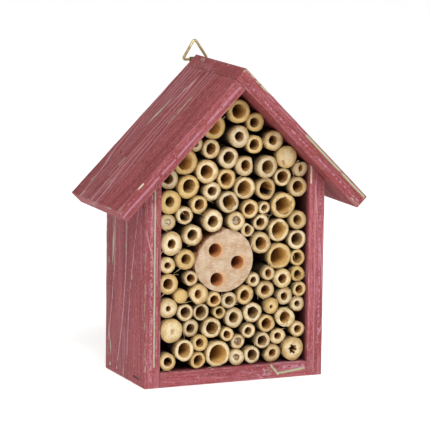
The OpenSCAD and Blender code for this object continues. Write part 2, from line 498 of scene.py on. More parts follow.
def make_streak_group() -> bpy.types.NodeTree:
    """Builds one worn streak through the stain.

    Returns:
        A group that puts out a broken, wavering line along Z at the place
        given in X, between two heights, on the face beyond a depth in Y.
    """
    graph, given = open_group("worn_streak", {
        "Vector": ORIGIN, "Across": 0.0, "Width": 0.0004, "From": -1.0, "To": 1.0, "Waver": 0.001,
        "Cover": 0.5, "Lean": 0.0, "Bend": 0.0, "Grit": 150.0, "Face": 0.0})
    across, depth, up = graph.split(given["Vector"])
    along = graph.combine(0.0, 0.0, up)
    sway = graph.math("SUBTRACT", graph.noise(along, 45.0, 2.0), 0.5)
    middle = graph.math("MULTIPLY_ADD", sway, given["Waver"], given["Across"])
    slant = graph.math("MULTIPLY_ADD", up, given["Bend"], given["Lean"])
    middle = graph.math("MULTIPLY_ADD", up, slant, middle)
    off = graph.math("ABSOLUTE", graph.math("SUBTRACT", across, middle))
    thick = graph.times(graph.math("ADD", graph.noise(along, 260.0, 3.0), 0.35), given["Width"])
    line = graph.math("SUBTRACT", 1.0, graph.math("DIVIDE", off, thick), clamp=True)
    line = graph.math("MULTIPLY", line, 2.4, clamp=True)
    gaps = graph.noise(given["Vector"], given["Grit"], 3.0)
    shown = graph.math("MULTIPLY", graph.math("SUBTRACT", gaps, given["Cover"]), 9.0, clamp=True)
    over = graph.times(graph.math("GREATER_THAN", up, given["From"]),
                       graph.math("LESS_THAN", up, given["To"]))
    near = graph.math("LESS_THAN", depth, graph.times(given["Face"], -1.0))
    return close_group(graph, {"Mask": graph.times(line, shown, near, over)})


def make_fibre_group() -> bpy.types.NodeTree:
    """Builds the speckle of cut fibre ends.

    Returns:
        A group that puts out a speckle, a soft mottle and a height.
    """
    graph, given = open_group("fibre_ends", {"Vector": ORIGIN, "Scale": 1000.0})
    spot, scale = given["Vector"], given["Scale"]
    dots = graph.add("ShaderNodeTexVoronoi", {"Vector": spot, "Scale": scale, "Randomness": 1.0},
                     feature="F1").outputs["Distance"]
    fine = graph.noise(spot, graph.times(scale, 1.7), 2.0)
    mottle = graph.noise(spot, graph.times(scale, 0.22), 3.0)
    speckle = graph.times(graph.remap(dots, 0.34, 0.12), graph.remap(fine, 0.35, 0.65))
    height = graph.math("SUBTRACT", fine, speckle)
    return close_group(graph, {"Speckle": speckle, "Mottle": mottle, "Height": height})


@dataclass
class Workshop:
    """The shared node groups, and the start of every material."""

    grain: bpy.types.NodeTree = field(default_factory=make_grain_group)
    arris: bpy.types.NodeTree = field(default_factory=make_arris_group)
    streak: bpy.types.NodeTree = field(default_factory=make_streak_group)
    fibre_ends: bpy.types.NodeTree = field(default_factory=make_fibre_group)

    def start(self, name: str) -> tuple[bpy.types.Material, Graph, bpy.types.Node]:
        """Starts a material.

        Args:
            name: The material's name.

        Returns:
            The material, its graph and its Principled shader.
        """
        material = bpy.data.materials.new(name)
        material.use_nodes = True
        material.node_tree.nodes.clear()
        graph = Graph(material.node_tree)
        shader = graph.add("ShaderNodeBsdfPrincipled")
        graph.add("ShaderNodeOutputMaterial", {"Surface": shader.outputs[0]})
        return material, graph, shader

    @staticmethod
    def use(graph: Graph, group: bpy.types.NodeTree, values: dict[str, Value]) -> dict[str, Socket]:
        """Places a shared group in a material.

        Args:
            graph: The material's graph.
            group: The group.
            values: Its inputs, by name.

        Returns:
            Its outputs, by name.
        """
        return dict(graph.add("ShaderNodeGroup", values, node_tree=group).outputs.items())


def place(graph: Graph, centre: Sequence[float], turn: Sequence[float] = ORIGIN) -> Socket:
    """Moves the place in the model into a board's own frame, its length along Z.

    Args:
        graph: The material's graph.
        centre: The board's middle.
        turn: The board's rotation, in radians.

    Returns:
        The place in the board.
    """
    node = graph.add("ShaderNodeMapping", {"Location": centre, "Rotation": turn,
                                           "Vector": graph.coords()}, vector_type="TEXTURE")
    return node.outputs[0]


def roughen(graph: Graph, shader: bpy.types.Node, height: Value, depth: float) -> None:
    """Feeds a bump to a shader's normal.

    Args:
        graph: The material's graph.
        shader: The Principled shader.
        height: The height, from 0 to 1.
        depth: What a height of 1 stands for, in metres.
    """
    bump = graph.add("ShaderNodeBump", {"Height": height, "Distance": depth, "Strength": 1.0})
    graph.feed(shader.inputs["Normal"], bump.outputs[0])


def darker(colour: Colour, share: float) -> Colour:
    """Darkens a colour to a share of its brightness."""
    return tuple(share * part for part in colour)


# ---------------------------------------------------------------- finishes


@dataclass(frozen=True)
class Streak:
    """One worn line in a board's stain, in the board's own frame.

    It runs from start to end along the grain. It wanders by waver, leans sideways by
    lean for each metre, and bends. A higher cover leaves less of it, in finer crumbs
    with a higher grit. One with outer set is on the board's outer face, any other on
    its front edge.
    """

    across: float
    width: float
    start: float
    end: float
    waver: float = 1.2 * MM
    cover: float = 0.42
    tint: Colour = (0.47, 0.50, 0.36)
    lean: float = 0.0
    bend: float = 0.0
    outer: bool = False
    grit: float = 150.0
    strength: float = 0.8


@dataclass(frozen=True)
class StainFinish:
    """A thin translucent stain over sawn softwood."""

    deep: Colour
    mid: Colour
    chalk: Colour = (0.62, 0.37, 0.42)
    lichen: Colour = (0.46, 0.50, 0.36)
    line_spacing: float = 7.0
    line_width: float = 0.04
    line_gaps: float = 0.44
    line_strength: float = 0.5
    line_fade: tuple[float, float] = (-1.0, -0.9)
    # This colour is painted shade for a board's inner side, where the canes shade it; it is not a colour of
    # the stain.
    inside_shade: Colour = (0.045, 0.010, 0.010)
    blush: float = 0.20
    wear: float = 0.24
    roughness: float = 0.66


ROSE = StainFinish(deep=(0.29, 0.058, 0.064), mid=(0.40, 0.100, 0.112))
ROSE_ROOF = StainFinish(deep=(0.28, 0.054, 0.056), mid=(0.38, 0.088, 0.092),
                        chalk=(0.54, 0.30, 0.34),
                        line_spacing=15.0, line_width=0.14, line_gaps=0.28, line_strength=0.85,
                        line_fade=(-16 * MM, -6 * MM))
BARE = StainFinish(deep=(0.46, 0.30, 0.17), mid=(0.66, 0.47, 0.30), chalk=(0.72, 0.56, 0.40),
                   lichen=(0.60, 0.46, 0.32), wear=0.2)


@dataclass(frozen=True)
class MetalFinish:
    """A plain or tarnished metal."""

    bright: Colour
    dull: Colour
    tarnish: float
    roughness: float
    grain: float = 900.0

    def material(self, shop: Workshop, name: str) -> bpy.types.Material:
        """Builds the metal's material.

        Args:
            shop: The shared groups.
            name: The material's name.

        Returns:
            The material.
        """
        material, graph, shader = shop.start(name)
        patches = graph.noise(graph.coords(), self.grain, 4.0)
        spread = graph.remap(patches, self.tarnish, self.tarnish + 0.22, 1.0, 0.0)
        graph.feed(shader.inputs["Base Color"], graph.blend(spread, self.bright, self.dull))
        graph.feed(shader.inputs["Roughness"], graph.remap(spread, 0.0, 1.0, self.roughness,
                                                           self.roughness + 0.3))
        graph.feed(shader.inputs["Metallic"], graph.remap(spread, 0.0, 1.0, 1.0, 0.55))
        roughen(graph, shader, patches, 0.02 * MM)
        return material


BRASS_WIRE = MetalFinish((0.56, 0.46, 0.24), (0.34, 0.25, 0.10), 0.36, 0.30, 260.0)
BRASS_STRAP = MetalFinish((0.30, 0.225, 0.11), (0.17, 0.12, 0.055), 0.46, 0.42, 150.0)
BRASS_NAIL = MetalFinish((0.52, 0.42, 0.22), (0.34, 0.25, 0.11), 0.40, 0.35, 300.0)
STAPLE_STEEL = MetalFinish((0.30, 0.28, 0.27), (0.10, 0.05, 0.035), 0.50, 0.45)


@dataclass
class StainCoat:
    """The stained wood of one board, laid on in layers in the board's own frame."""

    shop: Workshop
    board: "Board"
    material: bpy.types.Material = field(init=False)
    graph: Graph = field(init=False)
    shader: bpy.types.Node = field(init=False)
    spot: Socket = field(init=False)
    across: Socket = field(init=False)
    depth: Socket = field(init=False)
    along: Socket = field(init=False)
    grain: dict[str, Socket] = field(init=False)
    fibre: Socket = field(init=False)
    arris: Socket = field(init=False)
    colour: Socket = field(init=False)

    def __post_init__(self) -> None:
        """Starts the material, with its place, grain and worn edges."""
        board, finish = self.board, self.board.finish
        self.material, self.graph, self.shader = self.shop.start(board.name + "_stain")
        graph = self.graph
        self.spot = place(graph, board.centre, board.grain_turn)
        self.across, self.depth, self.along = graph.split(self.spot)
        self.grain = self.shop.use(graph, self.shop.grain, {
            "Vector": self.spot, "Line Spacing": finish.line_spacing, "Line Width": finish.line_width,
            "Gaps": finish.line_gaps, "Seed": board.seed})
        self.fibre = self.grain["Fibre"]
        self.arris = self.shop.use(graph, self.shop.arris, {
            "Vector": self.spot, "Half": board.grain_half, "Width": 1.5 * MM})["Mask"]
        tone = graph.remap(self.grain["Tone"], 0.34, 0.66)
        self.colour = graph.blend(tone, finish.deep, finish.mid)

    def lay(self, over: Colour, *amounts: Value) -> None:
        """Lays a colour over what is there.

        Args:
            over: The colour.
            *amounts: How much of it shows: the product of these.
        """
        self.colour = self.graph.blend(self.graph.times(*amounts), self.colour, over)

    def patches(self, length: float, scale: float, distortion: float = 0.0) -> Socket:
        """Makes noise that is drawn out along the grain.

        Args:
            length: Its scale along the grain, as a share of that across it.
            scale: How many patches lie in a metre across the grain.
            distortion: How far it is swirled.

        Returns:
            The noise, from 0 to 1.
        """
        return self.graph.noise(self.graph.scaled(self.spot, (1, 1, length)), scale, 4.0, distortion)

    def lay_grit(self) -> None:
        """Lays the dark fibre, the fine grit and a chalky haze."""
        graph, finish = self.graph, self.board.finish
        self.lay(darker(finish.deep, 0.62), graph.remap(self.fibre, 0.62, 0.36, 0.0, 0.55))
        grit = self.patches(0.45, 1000.0)
        self.lay(darker(finish.deep, 0.5), graph.remap(grit, 0.50, 0.30, 0.0, 0.6))
        self.lay(finish.chalk, graph.remap(grit, 0.54, 0.72, 0.0, 0.36))
        haze = self.patches(0.35, 48.0, 0.3)
        self.lay(finish.chalk, graph.remap(haze, 0.52, 0.72), graph.remap(self.fibre, 0.42, 0.62), 0.24)

    def brush_front(self) -> None:
        """Lays brush strokes and dark dabs on the front edge."""
        graph, finish, half = self.graph, self.board.finish, self.board.size.y / 2
        front = graph.remap(self.depth, 0.4 * MM - half, 0.1 * MM - half)
        strokes = graph.remap(self.patches(0.035, 1000.0), 0.44, 0.72)
        self.lay(finish.chalk, front, strokes, finish.blush)
        dabs = graph.remap(self.patches(0.3, 420.0), 0.52, 0.30)
        self.lay(darker(finish.deep, 0.55), front, dabs, 0.40)

    def lay_growth_lines(self) -> None:
        """Lays the growth lines, which stop short of the sawn ends."""
        graph, finish, half = self.graph, self.board.finish, self.board.size.z / 2
        shown = graph.remap(self.depth, *finish.line_fade)
        off_end = graph.remap(graph.math("ABSOLUTE", self.along), half - 0.2 * MM, half - 0.6 * MM, 0.2, 1.0)
        self.lay(finish.chalk, self.grain["Lines"], shown, finish.line_strength, off_end)

    def wear_through(self) -> None:
        """Lays pale flecks, and wears the edges down to the wood."""
        graph, finish = self.graph, self.board.finish
        flecks = graph.remap(self.patches(0.16, 120.0, 0.6), 0.665, 0.70)
        self.lay(finish.lichen, flecks, graph.remap(self.fibre, 0.40, 0.55), 0.85)
        rub = self.patches(0.4, 210.0)
        self.lay(finish.chalk, self.arris, graph.remap(rub, 0.42, 0.60), finish.wear)
        self.lay(finish.lichen, self.arris, self.arris, graph.remap(rub, 0.60, 0.68), 0.8)

    def lay_streaks(self) -> None:
        """Lays the board's own streaks on its front edge or its outer face."""
        size = self.board.size
        sideways = self.graph.combine(self.depth, self.across, self.along)
        for mark in self.board.streaks:
            spot, face = (sideways, size.x / 2) if mark.outer else (self.spot, size.y / 2)
            line = self.shop.use(self.graph, self.shop.streak, {
                "Vector": spot, "Across": mark.across, "Width": mark.width, "From": mark.start,
                "To": mark.end, "Waver": mark.waver, "Cover": mark.cover, "Lean": mark.lean,
                "Bend": mark.bend, "Grit": mark.grit, "Face": face - 0.45 * MM})["Mask"]
            self.lay(mark.tint, line, mark.strength)

    def paint_inside_shade(self) -> None:
        """Paints shade on the side that faces the canes, darkening it behind its front edge."""
        graph, size = self.graph, self.board.size
        inward = graph.times(self.across, float(self.board.inner_side))
        inner = graph.math("GREATER_THAN", inward, size.x / 2 - 0.4 * MM)
        behind = graph.remap(self.depth, 0.5 * MM - size.y / 2, 7 * MM - size.y / 2, 0.0, 0.85)
        # Painted shade: the inner side goes dark behind the front edge, where the canes and the case shade
        # it.
        self.lay(self.board.finish.inside_shade, inner, behind)

    def build(self) -> bpy.types.Material:
        """Lays all the layers in order.

        Returns:
            The finished material.
        """
        self.lay_grit()
        self.brush_front()
        self.lay_growth_lines()
        self.wear_through()
        self.lay_streaks()
        # Boards with an inner side get painted shade there.
        if self.board.inner_side:
            self.paint_inside_shade()
        graph, shader, roughness = self.graph, self.shader, self.board.finish.roughness
        graph.feed(shader.inputs["Base Color"], self.colour)
        graph.feed(shader.inputs["Roughness"], graph.remap(
            self.fibre, 0.3, 0.7, roughness + 0.14, roughness - 0.08))
        shader.inputs["Specular IOR Level"].default_value = 0.2
        roughen(graph, shader, self.grain["Height"], 0.16 * MM)
        return self.material


# ---------------------------------------------------------------- streaks


GREEN = (0.40, 0.47, 0.29)
MOSS = (0.20, 0.30, 0.17)
LILAC = (0.46, 0.21, 0.28)
PALE_LILAC = (0.53, 0.29, 0.36)
# Pale grey painted as the glint of staple ends:
STAPLE_GLINT = (0.70, 0.66, 0.64)
SOOT = (0.07, 0.03, 0.04)

# The ends of a streak are heights from the board's middle
LEFT_WALL_STREAKS = (
    Streak(1.1 * MM, 0.8 * MM, -0.063, 0.068, 0.5 * MM, 0.26, GREEN),
    Streak(-1.4 * MM, 1.3 * MM, -0.074, 0.068, 1.4 * MM, 0.44, LILAC, grit=600.0),
    Streak(3.0 * MM, 0.4 * MM, -0.060, 0.070, 0.8 * MM, 0.44, LILAC),
    Streak(21.8 * MM, 0.95 * MM, -0.056, 0.070, 0.8 * MM, 0.30, PALE_LILAC, -0.12, 1.7, True),
    Streak(21.4 * MM, 0.4 * MM, -0.030, 0.070, 0.8 * MM, 0.48, GREEN, -0.12, 1.7, True),
    Streak(-0.2 * MM, 1.1 * MM, -0.068, 0.070, 0.8 * MM, 0.28, PALE_LILAC, -0.10, 1.7, True),
    Streak(-0.4 * MM, 1.3 * MM, 0.002, 0.060, 1.5 * MM, 0.50, GREEN, -0.04, 0.0, True, 300.0),
    Streak(-11.5 * MM, 0.8 * MM, -0.060, 0.064, 1.0 * MM, 0.34, PALE_LILAC, -0.2, -1.3, True),
    Streak(-11.0 * MM, 1.5 * MM, -0.006, -0.002, 1.0 * MM, 0.40, SOOT, 0.0, 0.0, True, 500.0),
    Streak(-12.4 * MM, 1.1 * MM, -0.003, 0.001, 0.5 * MM, 0.36, GREEN, 0.0, 0.0, True, 500.0),
    Streak(-30.0 * MM, 2.4 * MM, 0.000, 0.060, 1.5 * MM, 0.40, LILAC, 0.0, 0.0, True, 260.0, 0.35),
    Streak(36.4 * MM, 1.2 * MM, 0.018, 0.066, 1.6 * MM, 0.44, GREEN, 0.0, 0.0, True, 260.0),
    Streak(30.5 * MM, 1.9 * MM, 0.000, 0.019, 2.5 * MM, 0.44, MOSS, 0.55, 0.0, True, 420.0),
    Streak(29.5 * MM, 1.6 * MM, 0.002, 0.020, 2.5 * MM, 0.48, LILAC, 0.55, 0.0, True, 420.0),
    Streak(35.5 * MM, 0.8 * MM, -0.014, -0.003, 1.5 * MM, 0.46, SOOT, 0.50, 0.0, True, 420.0),
    Streak(95.5 * MM, 1.2 * MM, -0.071, -0.061, 1.5 * MM, 0.46, LILAC, 0.96, 0.0, True, 420.0),
    # Two pale dots at the ends of the rear staple's legs: grey steel, painted pale as a glint.
    Streak(28.9 * MM, 1.3 * MM, -0.0742, -0.0718, 0.0, 0.20, STAPLE_GLINT, 0.0, 0.0, True, 500.0),
    Streak(15.8 * MM, 1.3 * MM, -0.0742, -0.0718, 0.0, 0.20, STAPLE_GLINT, 0.0, 0.0, True, 500.0),
    Streak(-36.9 * MM, 0.7 * MM, -0.066, 0.062, 0.4 * MM, 0.44, GREEN, 0.0, 0.0, True, 200.0, 0.6),
)
RIGHT_WALL_STREAKS = (
    Streak(-1.0 * MM, 0.45 * MM, -0.076, 0.066, 0.6 * MM, 0.30, LILAC),
    Streak(2.6 * MM, 1.0 * MM, -0.060, 0.060, 1.6 * MM, 0.48, LILAC, grit=420.0),
    Streak(-5.0 * MM, 0.9 * MM, 0.064, 0.080, 0.5 * MM, 0.24, (0.66, 0.62, 0.40)),
)
# On the base board, X runs down and heights run to the right
BASE_STREAKS = (
    Streak(-38.2 * MM, 1.5 * MM, 0.0288, 0.0352, 0.3 * MM, 0.26, GREEN, 1.16, 0.0, False, 300.0),
    Streak(6.2 * MM, 1.2 * MM, 0.0340, 0.0565, 0.6 * MM, 0.28, GREEN, -0.12, 0.0, False, 300.0),
    Streak(-2.4 * MM, 1.7 * MM, 0.0360, 0.0560, 1.6 * MM, 0.42, LILAC, 0.0, 0.0, False, 380.0),
    Streak(0.0 * MM, 4.2 * MM, 0.0225, 0.0300, 2.0 * MM, 0.48, LILAC, 0.0, 0.0, False, 480.0),
    Streak(0.6 * MM, 3.8 * MM, 0.0235, 0.0300, 2.0 * MM, 0.56, MOSS, 0.0, 0.0, False, 560.0),
    Streak(3.0 * MM, 2.4 * MM, 0.0175, 0.0240, 2.0 * MM, 0.50, LILAC, 0.0, 0.0, False, 480.0),
    Streak(-1.0 * MM, 2.4 * MM, -0.0560, 0.0150, 2.0 * MM, 0.54, LILAC, 0.0, 0.0, False, 260.0, 0.4),
)
# On the roof boards, heights run up the slope
ROOF_LEFT_STREAKS = (
    Streak(0.8 * MM, 1.1 * MM, -0.066, 0.062, 1.0 * MM, 0.36, LILAC, grit=300.0, strength=0.7),
    Streak(-2.5 * MM, 0.5 * MM, -0.066, 0.062, 0.6 * MM, 0.48, LILAC, grit=300.0, strength=0.5),
    Streak(-4.9 * MM, 0.8 * MM, -0.044, -0.036, 0.2 * MM, 0.34, (0.66, 0.64, 0.50)),
    Streak(12.0 * MM, 0.9 * MM, -0.030, -0.022, 0.6 * MM, 0.30, GREEN, 0.0, 0.0, True, 300.0),
    Streak(-5.0 * MM, 0.9 * MM, 0.014, 0.040, 0.6 * MM, 0.38, GREEN, 0.0, 0.0, True, 200.0),
)
ROOF_RIGHT_STREAKS = (
    Streak(3.7 * MM, 1.1 * MM, -0.068, 0.000, 0.9 * MM, 0.30, GREEN),
    Streak(3.4 * MM, 0.5 * MM, 0.000, 0.044, 0.9 * MM, 0.40, LILAC),
    Streak(4.6 * MM, 0.9 * MM, 0.044, 0.068, 0.6 * MM, 0.34, GREEN),
    Streak(-1.5 * MM, 0.9 * MM, -0.066, 0.060, 1.6 * MM, 0.46, LILAC, grit=380.0),
)


# ---------------------------------------------------------------- boards


# A staple's slot in a board, and the two pits that show of a covered one
SLOT_DEPTH = 1.8 * MM
SLOT_WIDTH = 1.5 * MM
SLOT_PLAY = 0.3 * MM
PIT_LENGTH = 1.5 * MM


@dataclass(frozen=True)
class Crown:
    """A staple's crown in a board's face; a covered one shows only its ends."""

    middle: Vector
    length: float
    covered: bool


@dataclass
class Board:
    """A sawn board: a box with its grain along its longest side.

    Its own frame has X across the thickness or width, Y along the depth of
    the hotel, and Z along the grain.
    """

    name: str
    node: str
    slot: str
    centre: Vector
    size: Vector
    turn_y: float
    seed: float
    finish: StainFinish
    streaks: tuple[Streak, ...] = ()
    trims: tuple[tuple[Vector, Vector], ...] = ()
    arris: float = 0.7 * MM
    slices: int = 22
    unevenness: float = 0.14 * MM
    # Which way, along its own X, the board's side faces the canes; that side gets painted shade, and 0 means
    # none.
    inner_side: int = 0

    @property
    def grain_turn(self) -> tuple[float, float, float]:
        """The turn of the board's frame in the model."""
        return (0.0, self.turn_y, 0.0)

    @property
    def grain_half(self) -> tuple[float, float, float]:
        """Half the board's sizes in its own frame."""
        return (self.size.x / 2, self.size.y / 2, self.size.z / 2)

    def build(self, crowns: Sequence[Crown]) -> bpy.types.Object:
        """Models the board.

        Args:
            crowns: The staple crowns that are driven into it.

        Returns:
            The finished board, not yet dressed.
        """
        leave_edit()
        bpy.ops.mesh.primitive_cube_add(size=1.0, location=(0, 0, 0))
        piece = bpy.context.object
        piece.name = self.name
        piece.scale = self.size
        settle(piece)
        bpy.ops.object.mode_set(mode="EDIT")
        for cut in range(1, self.slices):
            bpy.ops.mesh.select_all(action="SELECT")
            level = self.size.z * (cut / self.slices - 0.5)
            bpy.ops.mesh.bisect(plane_co=(0, 0, level), plane_no=(0, 0, 1))
        bpy.ops.mesh.select_all(action="SELECT")
        bpy.ops.transform.vertex_random(offset=self.unevenness, seed=int(self.seed * 10) + 3)
        leave_edit()
        piece.rotation_euler = self.grain_turn
        piece.location = self.centre
        settle(piece)
        bpy.ops.object.mode_set(mode="EDIT")
        for point, normal in self.trims:
            bpy.ops.mesh.select_all(action="SELECT")
            bpy.ops.mesh.bisect(plane_co=point, plane_no=normal, use_fill=True, clear_outer=True)
        leave_edit()
        soften(piece, self.arris, 3, 40.0)
        for crown in crowns:
            self.cut_slot(piece, crown)
        tidy_mesh(piece, 30.0)
        return piece

    def cut_slot(self, piece: bpy.types.Object, crown: Crown) -> None:
        """Cuts the slot of a bare crown, or the two pits of a painted-over one.

        Args:
            piece: The board.
            crown: The staple's crown.
        """
        spots = [(crown.middle, crown.length)]
        if crown.covered:
            reach = Vector((0, crown.length / 2 - PIT_LENGTH * 0.4, 0))
            spots = [(crown.middle - reach, PIT_LENGTH), (crown.middle + reach, PIT_LENGTH)]
        for middle, length in spots:
            leave_edit()
            bpy.ops.mesh.primitive_cube_add(size=1.0, location=middle)
            cutter = bpy.context.object
            cutter.scale = (2 * SLOT_DEPTH, length + SLOT_PLAY, SLOT_WIDTH)
            cutter.rotation_euler = self.grain_turn
            settle(cutter)
            add_modifier(cutter, "BEVEL", width=0.3 * SLOT_WIDTH, segments=2, limit_method="NONE")
            cut_away(piece, cutter)

    def dress(self, shop: Workshop, piece: bpy.types.Object) -> None:
        """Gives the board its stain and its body.

        Args:
            shop: The shared groups.
            piece: The modelled board.
        """
        coat(piece, StainCoat(shop, self).build())
        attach(piece, CASE)
        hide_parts(self.node)
        LOG.info("%s: %d faces", piece.name, len(piece.data.polygons))


@dataclass
class Case:
    """The walls, the base board and the back panel, with the roof boards."""

    shop: Workshop
    wall_t: float = 12 * MM
    roof_t: float = 11 * MM
    boards: list[Board] = field(default_factory=list)

    def measure(self) -> None:
        """Works out every board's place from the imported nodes."""
        for side, node in ((-1, "left_wall"), (1, "right_wall")):
            low, high = corners_of(node)
            outer = high.x if side > 0 else -low.x
            inner = outer - self.wall_t
            top_point = Vector((side * inner, 0, high.z))
            self.boards.append(Board(
                name=node + "_board", node=node, slot="pink_stain",
                centre=(low + high) / 2, size=high - low, turn_y=0.0,
                seed=1.3 if side < 0 else 5.9, finish=ROSE,
                streaks=LEFT_WALL_STREAKS if side < 0 else RIGHT_WALL_STREAKS, inner_side=-side,
                trims=((top_point, Vector((side, 0, 1)).normalized()),)))
        low, high = corners_of("base_board")
        self.boards.append(Board(
            name="base_board_front", node="base_board", slot="pink_stain",
            centre=(low + high) / 2, size=Vector((high.z - low.z, high.y - low.y, high.x - low.x)),
            turn_y=math.pi / 2, seed=9.1, finish=ROSE, streaks=BASE_STREAKS, inner_side=-1))
        low, high = corners_of("back_panel")
        peak = Vector((0, 0, high.z))
        self.boards.append(Board(
            name="back_board", node="back_panel", slot="plain_board",
            centre=(low + high) / 2, size=high - low, turn_y=0.0, seed=14.2, finish=BARE,
            trims=tuple((peak, Vector((side, 0, 1)).normalized()) for side in (-1, 1)),
            arris=0.3 * MM))
        self.measure_roof()

    def measure_roof(self) -> None:
        """Works out the two roof boards, each a box turned onto its slope."""
        step = self.roof_t / math.sqrt(2)
        for side, node in ((-1, "roof_left_board"), (1, "roof_right_board")):
            low, high = corners_of(node)
            eave = high.x if side > 0 else -low.x
            top = high.z
            start = Vector((0, 0, top)) if side > 0 else Vector((-step, 0, top))
            end = Vector((side * eave, 0, top - (eave - abs(start.x))))
            under = Vector((-side * step / 2, 0, -step / 2))
            length = (end - start).length
            middle = (start + end) / 2 + under
            middle.y = (low.y + high.y) / 2
            self.boards.append(Board(
                name=node + "_slope", node=node, slot="red_stain", centre=middle,
                size=Vector((self.roof_t, high.y - low.y, length)),
                turn_y=-side * math.pi / 4,
                seed=21.7 if side < 0 else 30.4, finish=ROSE_ROOF,
                streaks=ROOF_LEFT_STREAKS if side < 0 else ROOF_RIGHT_STREAKS))

    def crowns_for(self, board: Board) -> list[Crown]:
        """Finds the staple crowns in a board's outer face.

        Args:
            board: The board.

        Returns:
            The crowns, each with the middle of its outer side.
        """
        side = -1 if "left" in board.node else 1
        if board.node in ("left_wall", "right_wall"):
            way = Vector((side, 0, 0))
            nodes = ["base_staples"]
        elif board.node in ("roof_left_board", "roof_right_board"):
            way = Vector((side, 0, 1)).normalized()
            nodes = ["roof_staples", "ridge_staples"]
        else:
            return []
        found = []
        for node in nodes:
            for solid in solids_of(node):
                reach = solid @ np.array(way)
                face = solid[reach > reach.max() - 1e-5]
                middle = Vector(face.mean(axis=0))
                facing = (middle - board.centre).dot(way)
                if abs(facing - board.size.x / 2) < 2 * MM:
                    bare = node == "base_staples" and middle.y < 0
                    found.append(Crown(middle, float(np.ptp(face[:, 1])), not bare))
        return found

    def build(self) -> None:
        """Builds and dresses every board."""
        self.measure()
        for board in self.boards:
            piece = board.build(self.crowns_for(board))
            board.dress(self.shop, piece)


# ---------------------------------------------------------------- canes


class CaneEnd(Enum):
    """How a cane's front end looks."""

    OPEN = "open"
    CLOSED = "closed at a node"
    PITHY = "closed by soft pith"
    PLUGGED = "a thin wall just inside"
    STAR = "a split, star-shaped bore"


STAR_ARMS = 6
STAR_REACH = 1.3
FAR_OFF = (9.0, 9.0)


@dataclass(frozen=True)
class CaneTrait:
    """What sets one cane apart from a plain round one.

    flat is the way a flattened side faces, in degrees, and stain the place of a dark
    stain on the cut end, in radii from its middle. A tone of 1 is yellow and an age
    of 1 is grey; None draws them at random.
    """

    end: CaneEnd = CaneEnd.OPEN
    squeeze: float = 1.0
    lean: float = 0.0
    bore_squeeze: float = 1.0
    flat: float | None = None
    tone: float | None = None
    age: float | None = None
    stain: tuple[float, float] | None = None


PLAIN = CaneTrait()

# Traits by row and place in the row, both counted from 1
TRAITS: dict[tuple[int, int], CaneTrait] = {
    (1, 1): CaneTrait(tone=0.7),
    (1, 2): CaneTrait(tone=0.8),
    (1, 3): CaneTrait(tone=0.45, age=0.1),
    (1, 4): CaneTrait(CaneEnd.PLUGGED),
    (1, 6): CaneTrait(flat=150.0, tone=0.55),
    (1, 7): CaneTrait(CaneEnd.STAR, tone=0.6, age=0.2),
    (2, 1): CaneTrait(tone=0.3, age=0.1),
    (2, 3): CaneTrait(CaneEnd.PLUGGED, tone=0.3),
    (3, 1): CaneTrait(CaneEnd.CLOSED, tone=0.6, age=0.2, stain=(0.10, -0.05)),
    (3, 2): CaneTrait(tone=0.05, age=1.0),
    (4, 2): CaneTrait(tone=0.1, age=0.9),
    (4, 7): CaneTrait(squeeze=0.86, lean=-12.0, bore_squeeze=0.80),
    (5, 1): CaneTrait(tone=0.4, age=0.25),
    (5, 2): CaneTrait(CaneEnd.CLOSED, tone=0.95, age=0.75),
    (5, 3): CaneTrait(flat=215.0, bore_squeeze=0.8, tone=0.6),
    (6, 4): CaneTrait(bore_squeeze=0.85, tone=0.7),
    (7, 3): CaneTrait(tone=0.8, age=0.4),
    (9, 1): CaneTrait(CaneEnd.PITHY, tone=0.45),
    (9, 4): CaneTrait(CaneEnd.PLUGGED, tone=0.4, age=0.7),
    (9, 5): CaneTrait(flat=60.0, bore_squeeze=0.7),
    (10, 4): CaneTrait(tone=0.75, age=0.5),
    (11, 1): CaneTrait(tone=1.0, age=0.3),
    (11, 4): CaneTrait(tone=0.2, age=0.9),
    (12, 4): CaneTrait(tone=0.75),
    (12, 6): CaneTrait(bore_squeeze=0.75, flat=90.0, tone=0.65),
    (13, 1): CaneTrait(tone=1.0, age=0.5),
    (13, 2): CaneTrait(tone=0.15, age=0.85),
    (13, 3): CaneTrait(flat=10.0, bore_squeeze=0.85, tone=0.6),
    (13, 4): CaneTrait(tone=0.1, age=1.0),
    (13, 5): CaneTrait(CaneEnd.CLOSED, tone=0.7, age=0.2, stain=(-0.34, -0.42)),
    (14, 2): CaneTrait(tone=0.5, age=0.7),
    (15, 1): CaneTrait(tone=1.0, age=0.6),
    (15, 2): CaneTrait(tone=0.1, age=0.95),
    (15, 3): CaneTrait(tone=0.6, age=0.6),
    (16, 1): CaneTrait(tone=0.95, age=0.6),
    (16, 2): CaneTrait(tone=0.95, age=0.6),
}


